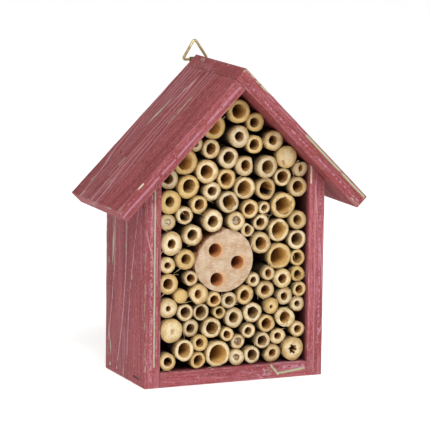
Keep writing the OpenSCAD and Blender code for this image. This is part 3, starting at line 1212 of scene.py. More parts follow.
@dataclass
class Cane:
    """One cut cane, lying along Y with its cut end to the front."""

    x: float
    z: float
    radius: float
    bore: float
    front: float
    back: float
    bore_back: float
    trait: CaneTrait
    seed: int
    sides: int = 40
    cut_edge: float = 0.28 * MM

    @classmethod
    def from_solid(cls, points: np.ndarray, trait: CaneTrait, seed: int) -> "Cane":
        """Reads a cane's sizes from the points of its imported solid.

        Args:
            points: The solid's points.
            trait: What sets the cane apart.
            seed: The cane's number, for its small differences.

        Returns:
            The cane.
        """
        low, high = points.min(axis=0), points.max(axis=0)
        x, z = (low[0] + high[0]) / 2, (low[2] + high[2]) / 2
        away = np.hypot(points[:, 0] - x, points[:, 2] - z)
        radius = float(away.max())
        inner = points[away < 0.93 * radius]
        bore = float(away[away < 0.93 * radius].max()) if len(inner) else 0.0
        depth = float(inner[:, 1].max()) if len(inner) else float(low[1])
        return cls(float(x), float(z), radius, bore, float(low[1]), float(high[1]), depth, trait, seed)

    def build(self, materials: Sequence[bpy.types.Material]) -> bpy.types.Object:
        """Models the cane.

        Args:
            materials: Its skin, cut end and bore.

        Returns:
            The cane, with those as its material slots 0 to 2.
        """
        dice = random.Random(self.seed)
        leave_edit()
        bpy.ops.mesh.primitive_cylinder_add(
            vertices=self.sides, radius=self.radius, depth=self.back - self.front,
            end_fill_type="NGON", location=(self.x, (self.front + self.back) / 2, self.z),
            rotation=(math.pi / 2, 0, 0))
        piece = bpy.context.object
        settle(piece)
        bpy.ops.object.mode_set(mode="EDIT")
        self.hollow(piece)
        self.shape(piece, dice)
        leave_edit()
        soften(piece, self.cut_edge, 2, 50.0)
        coat(piece, *materials)
        self.sort_faces(piece.data)
        self.store_marks(piece.data, dice)
        return piece

    def hollow(self, piece: bpy.types.Object) -> None:
        """Insets the cut end and draws the bore back into the cane.

        Args:
            piece: The cane, open in edit mode.
        """
        pick_faces(piece, lambda centre, normal: normal.y < -0.9 and centre.y < self.front + MM)
        kind = self.trait.end
        bore = self.bore
        if kind is CaneEnd.CLOSED:
            bore = 0.42 * self.radius
        elif kind is CaneEnd.PITHY or bore <= 0:
            bore = 0.45 * self.radius
        bpy.ops.mesh.inset(thickness=(self.radius - bore) * 0.55)
        bpy.ops.mesh.inset(thickness=(self.radius - bore) * 0.45)
        depth = self.bore_back - self.front
        if kind is CaneEnd.CLOSED:
            bpy.ops.transform.translate(value=(0, 0.35 * MM, 0))
            bpy.ops.mesh.inset(thickness=0.5 * bore)
            bpy.ops.transform.translate(value=(0, 0.15 * MM, 0))
            return
        if kind is CaneEnd.PITHY:
            depth = 0.9 * MM
        elif kind is CaneEnd.PLUGGED:
            depth = 2.6 * MM
        self.draw_in(depth)
        if kind is CaneEnd.STAR:
            self.split_star(piece)

    def draw_in(self, depth: float) -> None:
        """Draws the picked face back in steps, so that the bore can taper.

        Args:
            depth: How far back it goes.
        """
        for share in (0.12, 0.38, 0.5):
            bpy.ops.mesh.extrude_region_move(
                TRANSFORM_OT_translate={"value": (0, depth * share, 0)})
        bpy.ops.mesh.inset(thickness=self.radius * 0.1)

    def off_axis(self, spot: Vector) -> float:
        """Works out how far a point is from the cane's axis."""
        return math.hypot(spot.x - self.x, spot.z - self.z)

    def split_star(self, piece: bpy.types.Object) -> None:
        """Pushes every other stretch of the bore's wall out into a star.

        Args:
            piece: The cane, open in edit mode.
        """
        def on_arm(spot: Vector) -> bool:
            """Tells whether a point is on one of the star's arms."""
            angle = math.atan2(spot.z - self.z, spot.x - self.x)
            return self.off_axis(spot) < 1.05 * self.bore and math.cos(STAR_ARMS * angle + 0.6) > 0.3

        pick_points(piece, on_arm)
        bpy.ops.transform.resize(value=(STAR_REACH, 1, STAR_REACH),
                                 center_override=(self.x, self.front, self.z))

    def shape(self, piece: bpy.types.Object, dice: random.Random) -> None:
        """Takes the cane out of round and saws its end a little askew.

        Args:
            piece: The cane, open in edit mode.
            dice: The cane's own random draws.
        """
        middle = (self.x, self.front, self.z)
        trait = self.trait
        squeeze = trait.squeeze * dice.uniform(0.97, 1.0)
        lean = math.radians(trait.lean + dice.uniform(-60, 60))
        bpy.ops.mesh.select_all(action="SELECT")
        bpy.ops.transform.rotate(value=lean, orient_axis="Y", center_override=middle)
        bpy.ops.transform.resize(value=(squeeze, 1, 1), center_override=middle)
        bpy.ops.transform.rotate(value=-lean, orient_axis="Y", center_override=middle)
        reach = max(self.bore, 0.3 * self.radius) * 1.12
        pick_points(piece, lambda spot: self.off_axis(spot) < reach and spot.y < self.back - 2 * MM)
        inner = trait.bore_squeeze * dice.uniform(0.90, 1.0)
        bpy.ops.transform.rotate(value=-lean, orient_axis="Y", center_override=middle)
        bpy.ops.transform.resize(value=(inner, 1, 1), center_override=middle)
        drift = 0.06 * self.radius
        bpy.ops.transform.translate(value=(dice.uniform(-1, 1) * drift, 0, dice.uniform(-1, 1) * drift))
        if trait.flat is not None:
            self.flatten(piece, math.radians(trait.flat))
        pick_faces(piece, lambda centre, normal: centre.y < self.front + 0.4 * MM)
        for axis in ("X", "Z"):
            bpy.ops.transform.rotate(value=math.radians(dice.uniform(-5, 5)), orient_axis=axis,
                                     center_override=middle)

    def flatten(self, piece: bpy.types.Object, angle: float) -> None:
        """Presses one side of the cane flat, as where a shoot grew beside it.

        Args:
            piece: The cane, open in edit mode.
            angle: Which way that side faces, in radians from X.
        """
        mesh = bmesh.from_edit_mesh(piece.data)
        way = Vector((math.cos(angle), 0, math.sin(angle)))
        middle = Vector((self.x, 0, self.z))
        limit = 0.70 * self.radius
        for vertex in mesh.verts:
            reach = (vertex.co - middle).dot(way)
            if reach > limit:
                vertex.co -= way * (reach - limit) * 0.8
        bmesh.update_edit_mesh(piece.data)

    def sort_faces(self, mesh: bpy.types.Mesh) -> None:
        """Gives each face the material of its place: skin 0, cut end 1 or bore 2.

        Args:
            mesh: The cane's mesh.
        """
        bore = self.bore or 0.45 * self.radius
        closed = self.trait.end is CaneEnd.CLOSED
        filled = self.trait.end in (CaneEnd.PITHY, CaneEnd.PLUGGED)
        for face in mesh.polygons:
            centre, away = face.center, self.off_axis(face.center)
            facing = face.normal.y < -0.35 and centre.y < self.front + 1.6 * MM
            on_wall = closed or away > 0.92 * bore or centre.y < self.front + 0.3 * MM
            if (filled and face.normal.y < -0.8) or (facing and on_wall):
                face.material_index = 1
            elif away < 1.08 * bore and not closed:
                face.material_index = 2
            else:
                face.material_index = 0

    def store_marks(self, mesh: bpy.types.Mesh, dice: random.Random) -> None:
        """Stores, point by point, what the materials need to know.

        Args:
            mesh: The cane's mesh.
            dice: The cane's own random draws.
        """
        trait = self.trait
        bore = self.bore or 0.45 * self.radius
        points = np.empty(len(mesh.vertices) * 3)
        mesh.vertices.foreach_get("co", points)
        points = points.reshape(-1, 3)
        every = np.ones(len(points))
        depth = points[:, 1] - self.front
        away = np.hypot(points[:, 0] - self.x, points[:, 2] - self.z)
        rim = np.clip((away - bore) / (self.radius - bore), -1, 1)
        if trait.end is CaneEnd.CLOSED:
            rim = 0.2 + 0.8 * (away / self.radius) ** 3
        filled = trait.end in (CaneEnd.PITHY, CaneEnd.PLUGGED)
        stain = trait.stain or FAR_OFF
        wide = min(max((bore - 4.6 * MM) / (1.4 * MM), 0.0), 1.0)
        if trait.end is CaneEnd.STAR:
            wide = 0.8
        self.store(mesh, "rim", rim)
        self.store(mesh, "pith", every * (filled & (away < 0.97 * bore) & (depth > 0.4 * MM)))
        self.store(mesh, "stain_x", (points[:, 0] - self.x) / self.radius - stain[0])
        self.store(mesh, "stain_z", (points[:, 2] - self.z) / self.radius - stain[1])
        self.store(mesh, "tone", every * (dice.random() if trait.tone is None else trait.tone))
        self.store(mesh, "age", every * (dice.random() if trait.age is None else trait.age))
        self.store(mesh, "depth", depth)
        self.store(mesh, "wide", every * wide)
        # How far into the bore a point lies, for the bore's painted shade; the shade reaches further in wide
        # bores.
        self.store(mesh, "inward", depth / ((4.4 + 1.6 * wide) * bore))

    @staticmethod
    def store(mesh: bpy.types.Mesh, name: str, values: np.ndarray) -> None:
        """Stores one number per point under a name.

        Args:
            mesh: The mesh.
            name: The name.
            values: The numbers.
        """
        layer = mesh.attributes.new(name, "FLOAT", "POINT")
        layer.data.foreach_set("value", values.astype(np.float32))


@dataclass(frozen=True)
class BambooFinish:
    """Colours of dry cane: its cut end, its skin and its bore, with painted shade colours for the skin and
    the bore.
    """

    cream: Colour = (0.78, 0.67, 0.45)
    pale: Colour = (0.64, 0.51, 0.31)
    yellow: Colour = (0.60, 0.40, 0.13)
    grey: Colour = (0.44, 0.36, 0.25)
    rim: Colour = (0.32, 0.185, 0.065)
    mottle: Colour = (0.46, 0.30, 0.12)
    mouth: Colour = (0.58, 0.34, 0.10)
    pith_dark: Colour = (0.15, 0.085, 0.035)
    pith_light: Colour = (0.60, 0.50, 0.36)
    stain: Colour = (0.30, 0.15, 0.045)
    smudge: Colour = (0.24, 0.13, 0.05)
    skin_light: Colour = (0.36, 0.23, 0.09)
    skin_dark: Colour = (0.11, 0.060, 0.020)
    skin_old: Colour = (0.24, 0.20, 0.12)
    # Painted shade for the skin behind the cut end, between the canes:
    skin_shade: Colour = (0.016, 0.008, 0.003)
    bore_pale: Colour = (0.50, 0.33, 0.14)
    bore_light: Colour = (0.60, 0.32, 0.095)
    bore_yellow: Colour = (0.62, 0.40, 0.13)
    bore_gold: Colour = (0.84, 0.56, 0.20)
    # Dark fibre in the bore's wall, and its painted shade deeper in:
    bore_dark_fibre_and_shade: Colour = (0.20, 0.080, 0.020)

    @staticmethod
    def read(graph: Graph, name: str) -> Socket:
        """Reads one of the canes' stored numbers."""
        return graph.add("ShaderNodeAttribute", attribute_name=name,
                         attribute_type="GEOMETRY").outputs["Fac"]

    def end(self, shop: Workshop) -> bpy.types.Material:
        """Builds the sawn end, speckled, with a darker skin at its rim.

        Args:
            shop: The shared groups.

        Returns:
            The material.
        """
        material, graph, shader = shop.start("cane_cut_end")
        coords = graph.coords()
        ends = shop.use(graph, shop.fibre_ends, {"Vector": coords, "Scale": 800.0})
        tone, age, rim = (self.read(graph, name) for name in ("tone", "age", "rim"))
        colour = graph.blend(graph.remap(tone, 0.15, 0.95), self.pale, self.yellow)
        colour = graph.blend(graph.remap(age, 0.70, 1.0, 0.0, 0.6), colour, self.grey)
        patch = graph.noise(coords, 260.0, 3.0, 0.4)
        colour = graph.blend(graph.remap(patch, 0.48, 0.78, 0.0, 0.25), colour, self.grey)
        ragged = graph.math("MULTIPLY_ADD", graph.math("SUBTRACT", patch, 0.5), 0.7, rim)
        fresh = graph.times(graph.remap(ragged, 0.75, 0.1), graph.remap(age, 0.9, 0.3, 0.35, 0.85),
                            graph.remap(tone, 0.5, 1.0, 1.0, 0.35))
        colour = graph.blend(fresh, colour, self.cream)
        colour = graph.blend(graph.times(ends["Speckle"], 0.6), colour, self.rim)
        colour = graph.blend(graph.remap(ends["Mottle"], 0.54, 0.34, 0.0, 0.55), colour, self.mottle)
        outer = graph.times(graph.remap(ragged, 0.45, 0.98, 0.0, 0.9), graph.remap(age, 0.0, 0.6, 0.55, 1.0))
        colour = graph.blend(outer, colour, self.rim)
        colour = graph.blend(graph.remap(rim, 0.10, -0.06, 0.0, 0.5), colour, self.mouth)
        membrane = graph.blend(graph.remap(graph.noise(coords, 850.0, 4.0, 1.0), 0.36, 0.60),
                               self.pith_dark, self.pith_light)
        colour = graph.blend(self.read(graph, "pith"), colour, membrane)
        off = graph.combine(self.read(graph, "stain_x"), self.read(graph, "stain_z"))
        reach = graph.vector("LENGTH", off).outputs["Value"]
        reach = graph.math("MULTIPLY_ADD", graph.noise(coords, 480.0, 3.0), 0.7, reach)
        colour = graph.blend(graph.remap(reach, 0.64, 0.44, 0.0, 0.8), colour, self.stain)
        smudge = graph.noise(coords, 95.0, 3.0, 0.8)
        colour = graph.blend(graph.remap(smudge, 0.66, 0.78, 0.0, 0.6), colour, self.smudge)
        graph.feed(shader.inputs["Base Color"], colour)
        shader.inputs["Roughness"].default_value = 0.78
        shader.inputs["Specular IOR Level"].default_value = 0.25
        roughen(graph, shader, ends["Height"], 0.22 * MM)
        return material

    def skin(self, shop: Workshop) -> bpy.types.Material:
        """Builds the cane's outer skin, streaked along its length, with painted shade that darkens it behind
        the cut end.

        Args:
            shop: The shared groups.

        Returns:
            The material.
        """
        material, graph, shader = shop.start("cane_skin")
        coords = graph.coords()
        tone, age, depth = (self.read(graph, name) for name in ("tone", "age", "depth"))
        streaks = graph.noise(graph.scaled(coords, (1, 0.05, 1)), 900.0, 3.0)
        stains = graph.noise(graph.scaled(coords, (1, 0.5, 1)), 170.0, 4.0, 0.5)
        colour = graph.blend(graph.remap(stains, 0.30, 0.62), self.skin_dark, self.skin_light)
        colour = graph.blend(graph.remap(streaks, 0.44, 0.70, 0.0, 0.5), colour, self.pale)
        colour = graph.blend(graph.remap(age, 0.3, 1.0, 0.0, 0.40), colour, self.skin_old)
        colour = graph.blend(graph.remap(tone, 0.5, 1.0, 0.0, 0.3), colour, self.yellow)
        # Painted shade: the skin goes nearly black from 0.2 to 7 mm behind the cut end, where the
        # neighbouring canes shade it.
        colour = graph.blend(graph.remap(depth, 0.2 * MM, 7 * MM, 0.0, 0.97), colour, self.skin_shade)
        graph.feed(shader.inputs["Base Color"], colour)
        graph.feed(shader.inputs["Roughness"], graph.remap(stains, 0.3, 0.7, 0.66, 0.42))
        roughen(graph, shader, streaks, 0.16 * MM)
        return material

    def bore(self, shop: Workshop) -> bpy.types.Material:
        """Builds the bore's wall, with painted shade that darkens it towards its bottom.

        Args:
            shop: The shared groups.

        Returns:
            The material.
        """
        material, graph, shader = shop.start("cane_bore")
        tone, inward, wide = (self.read(graph, name) for name in ("tone", "inward", "wide"))
        fibres = graph.noise(graph.scaled(graph.coords(), (1, 0.08, 1)), 800.0, 3.0)
        light = graph.blend(graph.remap(tone, 0.1, 0.6), self.bore_pale, self.bore_light)
        light = graph.blend(graph.remap(tone, 0.7, 1.0), light, self.bore_yellow)
        light = graph.blend(wide, light, self.bore_gold)
        # Painted shade: the wall darkens from the mouth towards the bottom, over a longer reach in wide
        # bores.
        colour = graph.blend(graph.remap(inward, 0.0, 1.0), light, self.bore_dark_fibre_and_shade)
        streak = graph.times(graph.remap(fibres, 0.58, 0.36, 0.0, 0.5),
                             graph.remap(wide, 0.0, 1.0, 1.0, 0.4))
        colour = graph.blend(streak, colour, self.bore_dark_fibre_and_shade)
        graph.feed(shader.inputs["Base Color"], colour)
        shader.inputs["Roughness"].default_value = 0.8
        roughen(graph, shader, fibres, 0.25 * MM)
        return material


@dataclass
class CaneBundle:
    """All the canes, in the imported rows."""

    shop: Workshop
    finish: BambooFinish = field(default_factory=BambooFinish)
    canes: list[Cane] = field(default_factory=list)
    ripple: float = 1.3 * MM
    nicks: float = 0.55 * MM

    def build(self) -> None:
        """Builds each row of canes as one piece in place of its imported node."""
        materials = (self.finish.skin(self.shop), self.finish.end(self.shop), self.finish.bore(self.shop))
        clouds = ((cloud("cane_ripple", 9 * MM), self.ripple), (cloud("cane_nicks", 1.6 * MM), self.nicks))
        numbers = sorted(int(node.rsplit("_", 1)[1]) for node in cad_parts
                         if node.startswith("cane_row_"))
        for number in numbers:
            node = f"cane_row_{number}"
            solids = sorted(solids_of(node), key=lambda points: points[:, 0].min() + points[:, 0].max())
            made = []
            for place_in, points in enumerate(solids, 1):
                trait = TRAITS.get((number, place_in), PLAIN)
                cane = Cane.from_solid(points, trait, number * 100 + place_in)
                self.canes.append(cane)
                made.append(cane.build(materials))
            row = self.join(made, f"canes_row_{number}")
            for texture, strength in clouds:
                add_modifier(row, "DISPLACE", texture=texture, texture_coords="LOCAL",
                             direction="RGB_TO_XYZ", strength=strength, mid_level=0.5)
            tidy_mesh(row, 38.0)
            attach(row, CASE)
            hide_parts(node)
            LOG.info("%s: %d canes", row.name, len(made))

    @staticmethod
    def join(made: list[bpy.types.Object], name: str) -> bpy.types.Object:
        """Joins canes into one object.

        Args:
            made: The canes.
            name: The joined object's name.

        Returns:
            The joined object.
        """
        leave_edit()
        for piece in made:
            piece.select_set(True)
        bpy.context.view_layer.objects.active = made[0]
        if len(made) > 1:
            bpy.ops.object.join()
        row = bpy.context.view_layer.objects.active
        row.name = name
        return row


# ---------------------------------------------------------------- log


@dataclass(frozen=True)
class LogFinish:
    """Colours of the log: its sawn end, its holes with their painted shade, and its bark."""

    dark: Colour = (0.46, 0.31, 0.19)
    light: Colour = (0.60, 0.46, 0.33)
    ring: Colour = (0.50, 0.31, 0.17)
    speckle: Colour = (0.40, 0.22, 0.12)
    saw_mark: Colour = (0.74, 0.60, 0.46)
    pore: Colour = (0.36, 0.20, 0.10)
    # Torn fibres, painted lit, on the right rims of the holes:
    torn: Colour = (0.62, 0.32, 0.14)
    hole_mouth: Colour = (0.60, 0.27, 0.10)
    hole_bottom_shade: Colour = (0.24, 0.085, 0.03)
    bark: Colour = (0.20, 0.075, 0.03)
    skin: Colour = (0.44, 0.27, 0.15)


@dataclass(frozen=True)
class Hole:
    """One of the log's holes: its place and its bottom."""

    x: float
    z: float
    bottom: float


@dataclass
class DrilledLog:
    """The round log with its drilled holes and a rag of bark."""

    shop: Workshop
    finish: LogFinish = field(default_factory=LogFinish)
    hole_r: float = 5 * MM
    cut_edge: float = 0.22 * MM
    bark_from: float = 95.0
    bark_to: float = 160.0
    middle: Vector = field(init=False)
    radius: float = field(init=False)
    front: float = field(init=False)
    back: float = field(init=False)

    def __post_init__(self) -> None:
        """Reads the log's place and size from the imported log."""
        low, high = corners_of("drilled_log")
        self.middle = (low + high) / 2
        self.radius = (high.x - low.x) / 2
        self.front, self.back = low.y, high.y

    def holes(self) -> list[Hole]:
        """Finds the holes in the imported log.

        Returns:
            The holes.
        """
        points = points_of("drilled_log")
        low, high = points.min(axis=0), points.max(axis=0)
        x, z = (low[0] + high[0]) / 2, (low[2] + high[2]) / 2
        away = np.hypot(points[:, 0] - x, points[:, 2] - z)
        inner = points[away < 0.9 * away.max()]
        found: list[np.ndarray] = []
        for point in inner[inner[:, 1] < self.front + 0.5 * MM]:
            near = [g for g in found if np.hypot(*(g - point)[:, [0, 2]].T).min() < self.hole_r]
            found = [g for g in found if not any(g is other for other in near)]
            found.append(np.vstack([point, *near]))
        depths = inner[:, 1]
        bottom = float(depths[(depths > self.front + MM) & (depths < high[1] - MM)].max())
        spots = [(group.min(axis=0) + group.max(axis=0)) / 2 for group in found]
        return [Hole(float(spot[0]), float(spot[2]), bottom) for spot in spots]

    def build(self) -> None:
        """Models the log, drills it and dresses it."""
        leave_edit()
        bpy.ops.mesh.primitive_cylinder_add(
            vertices=120, radius=self.radius, depth=self.back - self.front, end_fill_type="NGON",
            location=self.middle, rotation=(math.pi / 2, 0, 0))
        piece = bpy.context.object
        piece.name = "log"
        settle(piece)
        bpy.ops.object.mode_set(mode="EDIT")
        pick_faces(piece, lambda centre, normal: normal.y < -0.9)
        bpy.ops.mesh.inset(thickness=0.7 * MM)
        bpy.ops.mesh.inset(thickness=1.2 * MM)
        leave_edit()
        self.tear_bark(piece)
        holes = self.holes()
        for hole in holes:
            self.drill(piece, hole)
        soften(piece, self.cut_edge, 2, 50.0)
        tidy_mesh(piece, 40.0)
        coat(piece, self.wood(holes))
        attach(piece, CASE)
        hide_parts("drilled_log")
        LOG.info("%s: %d faces", piece.name, len(piece.data.polygons))

    def tear_bark(self, piece: bpy.types.Object) -> None:
        """Breaks the rim, most of all where bark is left on the log.

        Args:
            piece: The log.
        """
        dice = random.Random(77)
        for vertex in piece.data.vertices:
            off = vertex.co - self.middle
            angle = math.degrees(math.atan2(off.z, off.x)) % 360
            if math.hypot(off.x, off.z) > self.radius - 0.9 * MM and vertex.co.y < self.front + MM:
                torn = 1.0 if self.bark_from < angle < self.bark_to else 0.15
                shrink = 1.0 - torn * dice.uniform(0.0, 1.6) * MM / self.radius
                vertex.co.x = self.middle.x + off.x * shrink
                vertex.co.z = self.middle.z + off.z * shrink
                vertex.co.y += torn * dice.uniform(0.0, 1.0) * MM

    def drill(self, piece: bpy.types.Object, hole: Hole) -> None:
        """Drills one hole.

        Args:
            piece: The log.
            hole: The hole.
        """
        leave_edit()
        length = hole.bottom - self.front + 4 * MM
        bpy.ops.mesh.primitive_cylinder_add(
            vertices=40, radius=self.hole_r, depth=length,
            location=(hole.x, hole.bottom - length / 2, hole.z), rotation=(math.pi / 2, 0, 0))
        cutter = bpy.context.object
        settle(cutter)
        cut_away(piece, cutter)

    def wood(self, holes: Sequence[Hole]) -> bpy.types.Material:
        """Builds the log's sawn end, drilled holes and bark, with painted shade down the holes and torn
        fibres painted lit on their right rims.

        Args:
            holes: The holes.

        Returns:
            The material.
        """
        finish, radius = self.finish, self.radius
        material, graph, shader = self.shop.start("log_end_grain")
        spot = place(graph, (self.middle.x, self.front, self.middle.z))
        across, depth, up = graph.split(spot)
        flat = graph.combine(across, up)
        away = graph.vector("LENGTH", flat).outputs["Value"]
        ends = self.shop.use(graph, self.shop.fibre_ends, {"Vector": spot, "Scale": 720.0})
        wobble = graph.math("MULTIPLY_ADD", graph.noise(flat, 60.0, 2.0), 4 * MM, away)
        rings = graph.math("SINE", graph.times(wobble, 3400.0))
        colour = graph.blend(graph.remap(ends["Mottle"], 0.32, 0.68), finish.dark, finish.light)
        colour = graph.blend(graph.times(graph.remap(rings, -0.2, 1.0), 0.16), colour, finish.ring)
        colour = graph.blend(graph.times(ends["Speckle"], 0.75), colour, finish.speckle)
        saw = graph.noise(graph.scaled(spot, (0.25, 1, 1)), 900.0, 3.0)
        colour = graph.blend(graph.remap(saw, 0.52, 0.72, 0.0, 0.55), colour, finish.saw_mark)
        pores = graph.noise(spot, 1300.0, 3.0)
        colour = graph.blend(graph.remap(pores, 0.47, 0.33, 0.0, 0.55), colour, finish.pore)
        # Each hole's rim gets torn fibres, painted only on its right side; that one-sidedness is painted
        # light, where light from the left falls.
        for hole in holes:
            x, z = hole.x - self.middle.x, hole.z - self.middle.z
            torn = graph.vector("DISTANCE", flat, (x + MM, z, 0)).outputs["Value"]
            torn = graph.math("MULTIPLY_ADD", graph.noise(spot, 900.0, 3.0), -2.6 * MM, torn)
            edge = graph.remap(torn, self.hole_r + 1.0 * MM, self.hole_r - 0.9 * MM, 0.0, 0.6)
            right = graph.remap(across, x, x + 2 * MM)
            colour = graph.blend(graph.times(edge, right), colour, finish.torn)
        # Painted shade: each hole's wall darkens from its mouth to its bottom.
        hole_wall_shade = graph.blend(graph.remap(depth, 0.5 * MM, 22 * MM), finish.hole_mouth, finish.hole_bottom_shade)
        colour = graph.blend(graph.remap(depth, 0.3 * MM, 1.2 * MM), colour, hole_wall_shade)
        ragged = graph.noise(spot, 330.0, 4.0, 0.6)
        reach = graph.math("MULTIPLY_ADD", ragged, -2.6 * MM, away)
        bark = graph.remap(reach, radius - 4.2 * MM, radius - 2.6 * MM)
        upper_left = graph.remap(graph.math("SUBTRACT", up, across), 18 * MM, 27 * MM)
        colour = graph.blend(graph.times(bark, upper_left), colour, finish.bark)
        skin = graph.remap(away, radius - 0.25 * MM, radius - 0.05 * MM, 0.0, 0.8)
        colour = graph.blend(skin, colour, finish.skin)
        graph.feed(shader.inputs["Base Color"], colour)
        shader.inputs["Roughness"].default_value = 0.86
        shader.inputs["Specular IOR Level"].default_value = 0.2
        roughen(graph, shader, graph.math("ADD", ends["Height"], saw), 0.3 * MM)
        return material


# ---------------------------------------------------------------- hanger


@dataclass
class Hanger:
    """The wire ring, its strap and the small metal parts."""

    shop: Workshop
    wire_r: float = 1.0 * MM
    bend_r: float = 2.4 * MM

    def corners(self) -> list[Vector]:
        """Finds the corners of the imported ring.

        Returns:
            Its left, right and top corner, on the wire's middle.
        """
        points = points_of("hanger_ring")
        left, right = points[points[:, 0].argmin()], points[points[:, 0].argmax()]
        top = points[points[:, 2].argmax()]
        bar_y, bar_z = points[points[:, 0] < left[0] + 0.3 * MM][:, 1:].mean(axis=0)
        bead = 1.06 * self.wire_r
        return [Vector((left[0] + bead, bar_y, bar_z)), Vector((right[0] - bead, bar_y, bar_z)),
                Vector((0.0, top[1], top[2] - bead))]

    def build(self) -> None:
        """Builds the ring and dresses the strap, nails and staples."""
        ring = self.bend_ring()
        coat(ring, BRASS_WIRE.material(self.shop, "brass_wire_satin"))
        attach(ring, RING)
        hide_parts("hanger_ring")
        for node, finish in (("hanger_strap", BRASS_STRAP), ("hanger_nails", BRASS_NAIL),
                             ("base_staples", STAPLE_STEEL), ("roof_staples", STAPLE_STEEL),
                             ("ridge_staples", STAPLE_STEEL)):
            self.dress(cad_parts[node], finish.material(self.shop, node + "_metal"))

    @staticmethod
    def dress(part: bpy.types.Object, material: bpy.types.Material) -> None:
        """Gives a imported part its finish.

        Args:
            part: The part, which keeps its shape.
            material: The finish.
        """
        if not part.material_slots:
            part.data.materials.append(material)
        for slot in part.material_slots:
            slot.material = material
        LOG.info("%s dressed", part.name)

    def bend_ring(self) -> bpy.types.Object:
        """Bends one wire into a triangle with rounded corners.

        Returns:
            The ring.
        """
        leave_edit()
        bpy.ops.mesh.primitive_circle_add(vertices=3, radius=1.0, fill_type="NOTHING")
        ring = bpy.context.object
        ring.name = "ring_wire"
        for vertex, corner in zip(ring.data.vertices, self.corners()):
            vertex.co = corner
        take(ring)
        bpy.ops.object.mode_set(mode="EDIT")
        bpy.ops.mesh.select_all(action="SELECT")
        bpy.ops.mesh.bevel(offset=self.bend_r, segments=8, affect="VERTICES")
        leave_edit()
        take(ring)
        bpy.ops.object.convert(target="CURVE")
        ring = bpy.context.object
        ring.data.bevel_depth = self.wire_r
        ring.data.bevel_resolution = 6
        bpy.ops.object.convert(target="MESH")
        ring = bpy.context.object
        ring.name = "ring_wire"
        settle(ring)
        tidy_mesh(ring, 60.0)
        return ring


# ---------------------------------------------------------------- loose fibres


@dataclass
class StrayFibres:
    """Wisps of cane fibre caught between the canes and along their rims."""

    shop: Workshop
    canes: list[Cane]
    count: int = 110
    thickness: float = 0.24 * MM
    shortest: float = 2.5 * MM
    longest: float = 7.0 * MM
    steps: int = 6

    def build(self) -> None:
        """Draws each wisp as a thin bent strand and joins them."""
        dice = random.Random(2024)
        data = bpy.data.curves.new("stray_fibres", "CURVE")
        data.dimensions = "3D"
        data.bevel_depth = self.thickness
        data.bevel_resolution = 1
        for _ in range(self.count):
            self.draw(data, dice)
        piece = bpy.data.objects.new("stray_fibres", data)
        bpy.context.scene.collection.objects.link(piece)
        take(piece)
        bpy.ops.object.convert(target="MESH")
        piece = bpy.context.object
        piece.name = "stray_fibres"
        tidy_mesh(piece, 60.0)
        coat(piece, self.straw())
        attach(piece, CASE)
        LOG.info("%s: %d wisps", piece.name, self.count)

    def draw(self, data: bpy.types.Curve, dice: random.Random) -> None:
        """Adds one wisp, starting on a cane's rim.

        Args:
            data: The curve that holds the wisps.
            dice: The random draws.
        """
        cane = dice.choice(self.canes)
        angle = dice.uniform(0, 2 * math.pi)
        length = dice.uniform(self.shortest, self.longest)
        rim = 0.97 * cane.radius
        start = Vector((cane.x + rim * math.cos(angle), cane.front + 0.6 * MM,
                        cane.z + rim * math.sin(angle)))
        way = Vector((-math.sin(angle) * dice.choice((-1, 1)), -0.25, math.cos(angle))).normalized()
        sag = Vector((dice.uniform(-1, 1), dice.uniform(-0.3, 0.6), dice.uniform(-1, 0.4)))
        strand = data.splines.new("POLY")
        strand.points.add(self.steps)
        for i, point in enumerate(strand.points):
            share = i / self.steps
            spot = start + way * length * share + sag * length * 0.45 * share * share
            spot.y = max(spot.y, cane.front - 1.2 * MM)
            point.co = (*spot, 1.0)
            point.radius = 1.0 - 0.75 * share

    def straw(self) -> bpy.types.Material:
        """Builds the dry straw-coloured fibre.

        Returns:
            The material.
        """
        material, graph, shader = self.shop.start("straw_fibre")
        patch = graph.noise(graph.coords(), 300.0, 3.0)
        colour = graph.blend(graph.remap(patch, 0.35, 0.65), (0.36, 0.25, 0.11), (0.72, 0.58, 0.34))
        graph.feed(shader.inputs["Base Color"], colour)
        shader.inputs["Roughness"].default_value = 0.7
        return material


# ---------------------------------------------------------------- studio


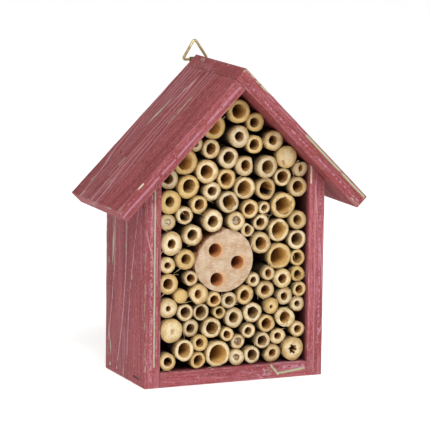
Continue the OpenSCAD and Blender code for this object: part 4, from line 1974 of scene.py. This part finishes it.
@dataclass
class Studio:
    """The floor, the lights and the camera."""

    camera_at: Vector = field(default_factory=lambda: Vector((-0.8626, -1.9625, 0.4831)))
    look_at: Vector = field(default_factory=lambda: Vector((-0.0035, -0.008, 0.1178)))
    roll: float = 0.71
    lens: float = 250.0
    sky: float = 0.52
    floor_size: float = 12.0
    floor_drop: float = 0.2 * MM

    def build(self) -> None:
        """Sets up the whole studio."""
        self.set_camera()
        self.set_lights()
        self.set_floor()

    def set_camera(self) -> None:
        """Places the camera and makes it the scene's own."""
        data = bpy.data.cameras.new("studio_camera")
        data.lens = self.lens
        data.sensor_width = 36.0
        data.clip_start = 0.05
        data.clip_end = 60.0
        camera = bpy.data.objects.new("studio_camera", data)
        bpy.context.scene.collection.objects.link(camera)
        way = (self.look_at - self.camera_at).to_track_quat("-Z", "Y").to_euler()
        camera.rotation_euler = way
        camera.rotation_euler.rotate_axis("Z", math.radians(self.roll))
        camera.location = self.camera_at
        bpy.context.scene.camera = camera

    def set_lights(self) -> None:
        """Lights the hotel softly from the front, with a bright sky."""
        world = bpy.data.worlds.new("soft_sky")
        world.use_nodes = True
        graph = Graph(world.node_tree)
        sky = world.node_tree.nodes["Background"]
        seen = graph.add("ShaderNodeLightPath").outputs["Is Camera Ray"]
        graph.feed(sky.inputs["Color"], (1.0, 1.0, 1.0))
        graph.feed(sky.inputs["Strength"], graph.math("MULTIPLY_ADD", seen, 1.0 - self.sky, self.sky))
        bpy.context.scene.world = world
        bpy.context.scene.view_settings.view_transform = "Standard"
        self.lamp("key_light", (-0.5, -2.0, 2.1), 1.0, 44.0)
        self.lamp("fill_light", (1.5, -1.8, 1.3), 1.2, 7.0)

    def lamp(self, name: str, at: tuple[float, float, float], size: float, power: float) -> None:
        """Adds one soft lamp aimed at the hotel.

        Args:
            name: The lamp's name.
            at: Where it stands.
            size: Its width.
            power: Its power in watts.
        """
        data = bpy.data.lights.new(name, "AREA")
        data.size = size
        data.energy = power
        lamp = bpy.data.objects.new(name, data)
        bpy.context.scene.collection.objects.link(lamp)
        lamp.location = at
        lamp.rotation_euler = (self.look_at - Vector(at)).to_track_quat("-Z", "Y").to_euler()

    def set_floor(self) -> None:
        """Lays a plain white floor just under the hotel."""
        leave_edit()
        bpy.ops.mesh.primitive_plane_add(size=self.floor_size, location=(0, 0, -self.floor_drop))
        floor = bpy.context.object
        floor.name = "studio_floor"
        settle(floor)
        material = bpy.data.materials.new("studio_white")
        material.use_nodes = True
        shader = material.node_tree.nodes["Principled BSDF"]
        for socket, value in {"Base Color": (0.93, 0.93, 0.93, 1.0), "Roughness": 0.9,
                              "Specular IOR Level": 0.1, "Emission Color": (1.0, 1.0, 1.0, 1.0),
                              "Emission Strength": 0.45}.items():
            shader.inputs[socket].default_value = value
        floor.data.materials.append(material)


def main() -> None:
    """Builds the whole visible hotel."""
    logging.basicConfig(level=logging.INFO, format="%(name)s: %(message)s")
    shop = Workshop()
    Case(shop).build()
    bundle = CaneBundle(shop)
    bundle.build()
    DrilledLog(shop).build()
    Hanger(shop).build()
    StrayFibres(shop, bundle.canes).build()
    Studio().build()


if __name__ == "__main__":
    main()
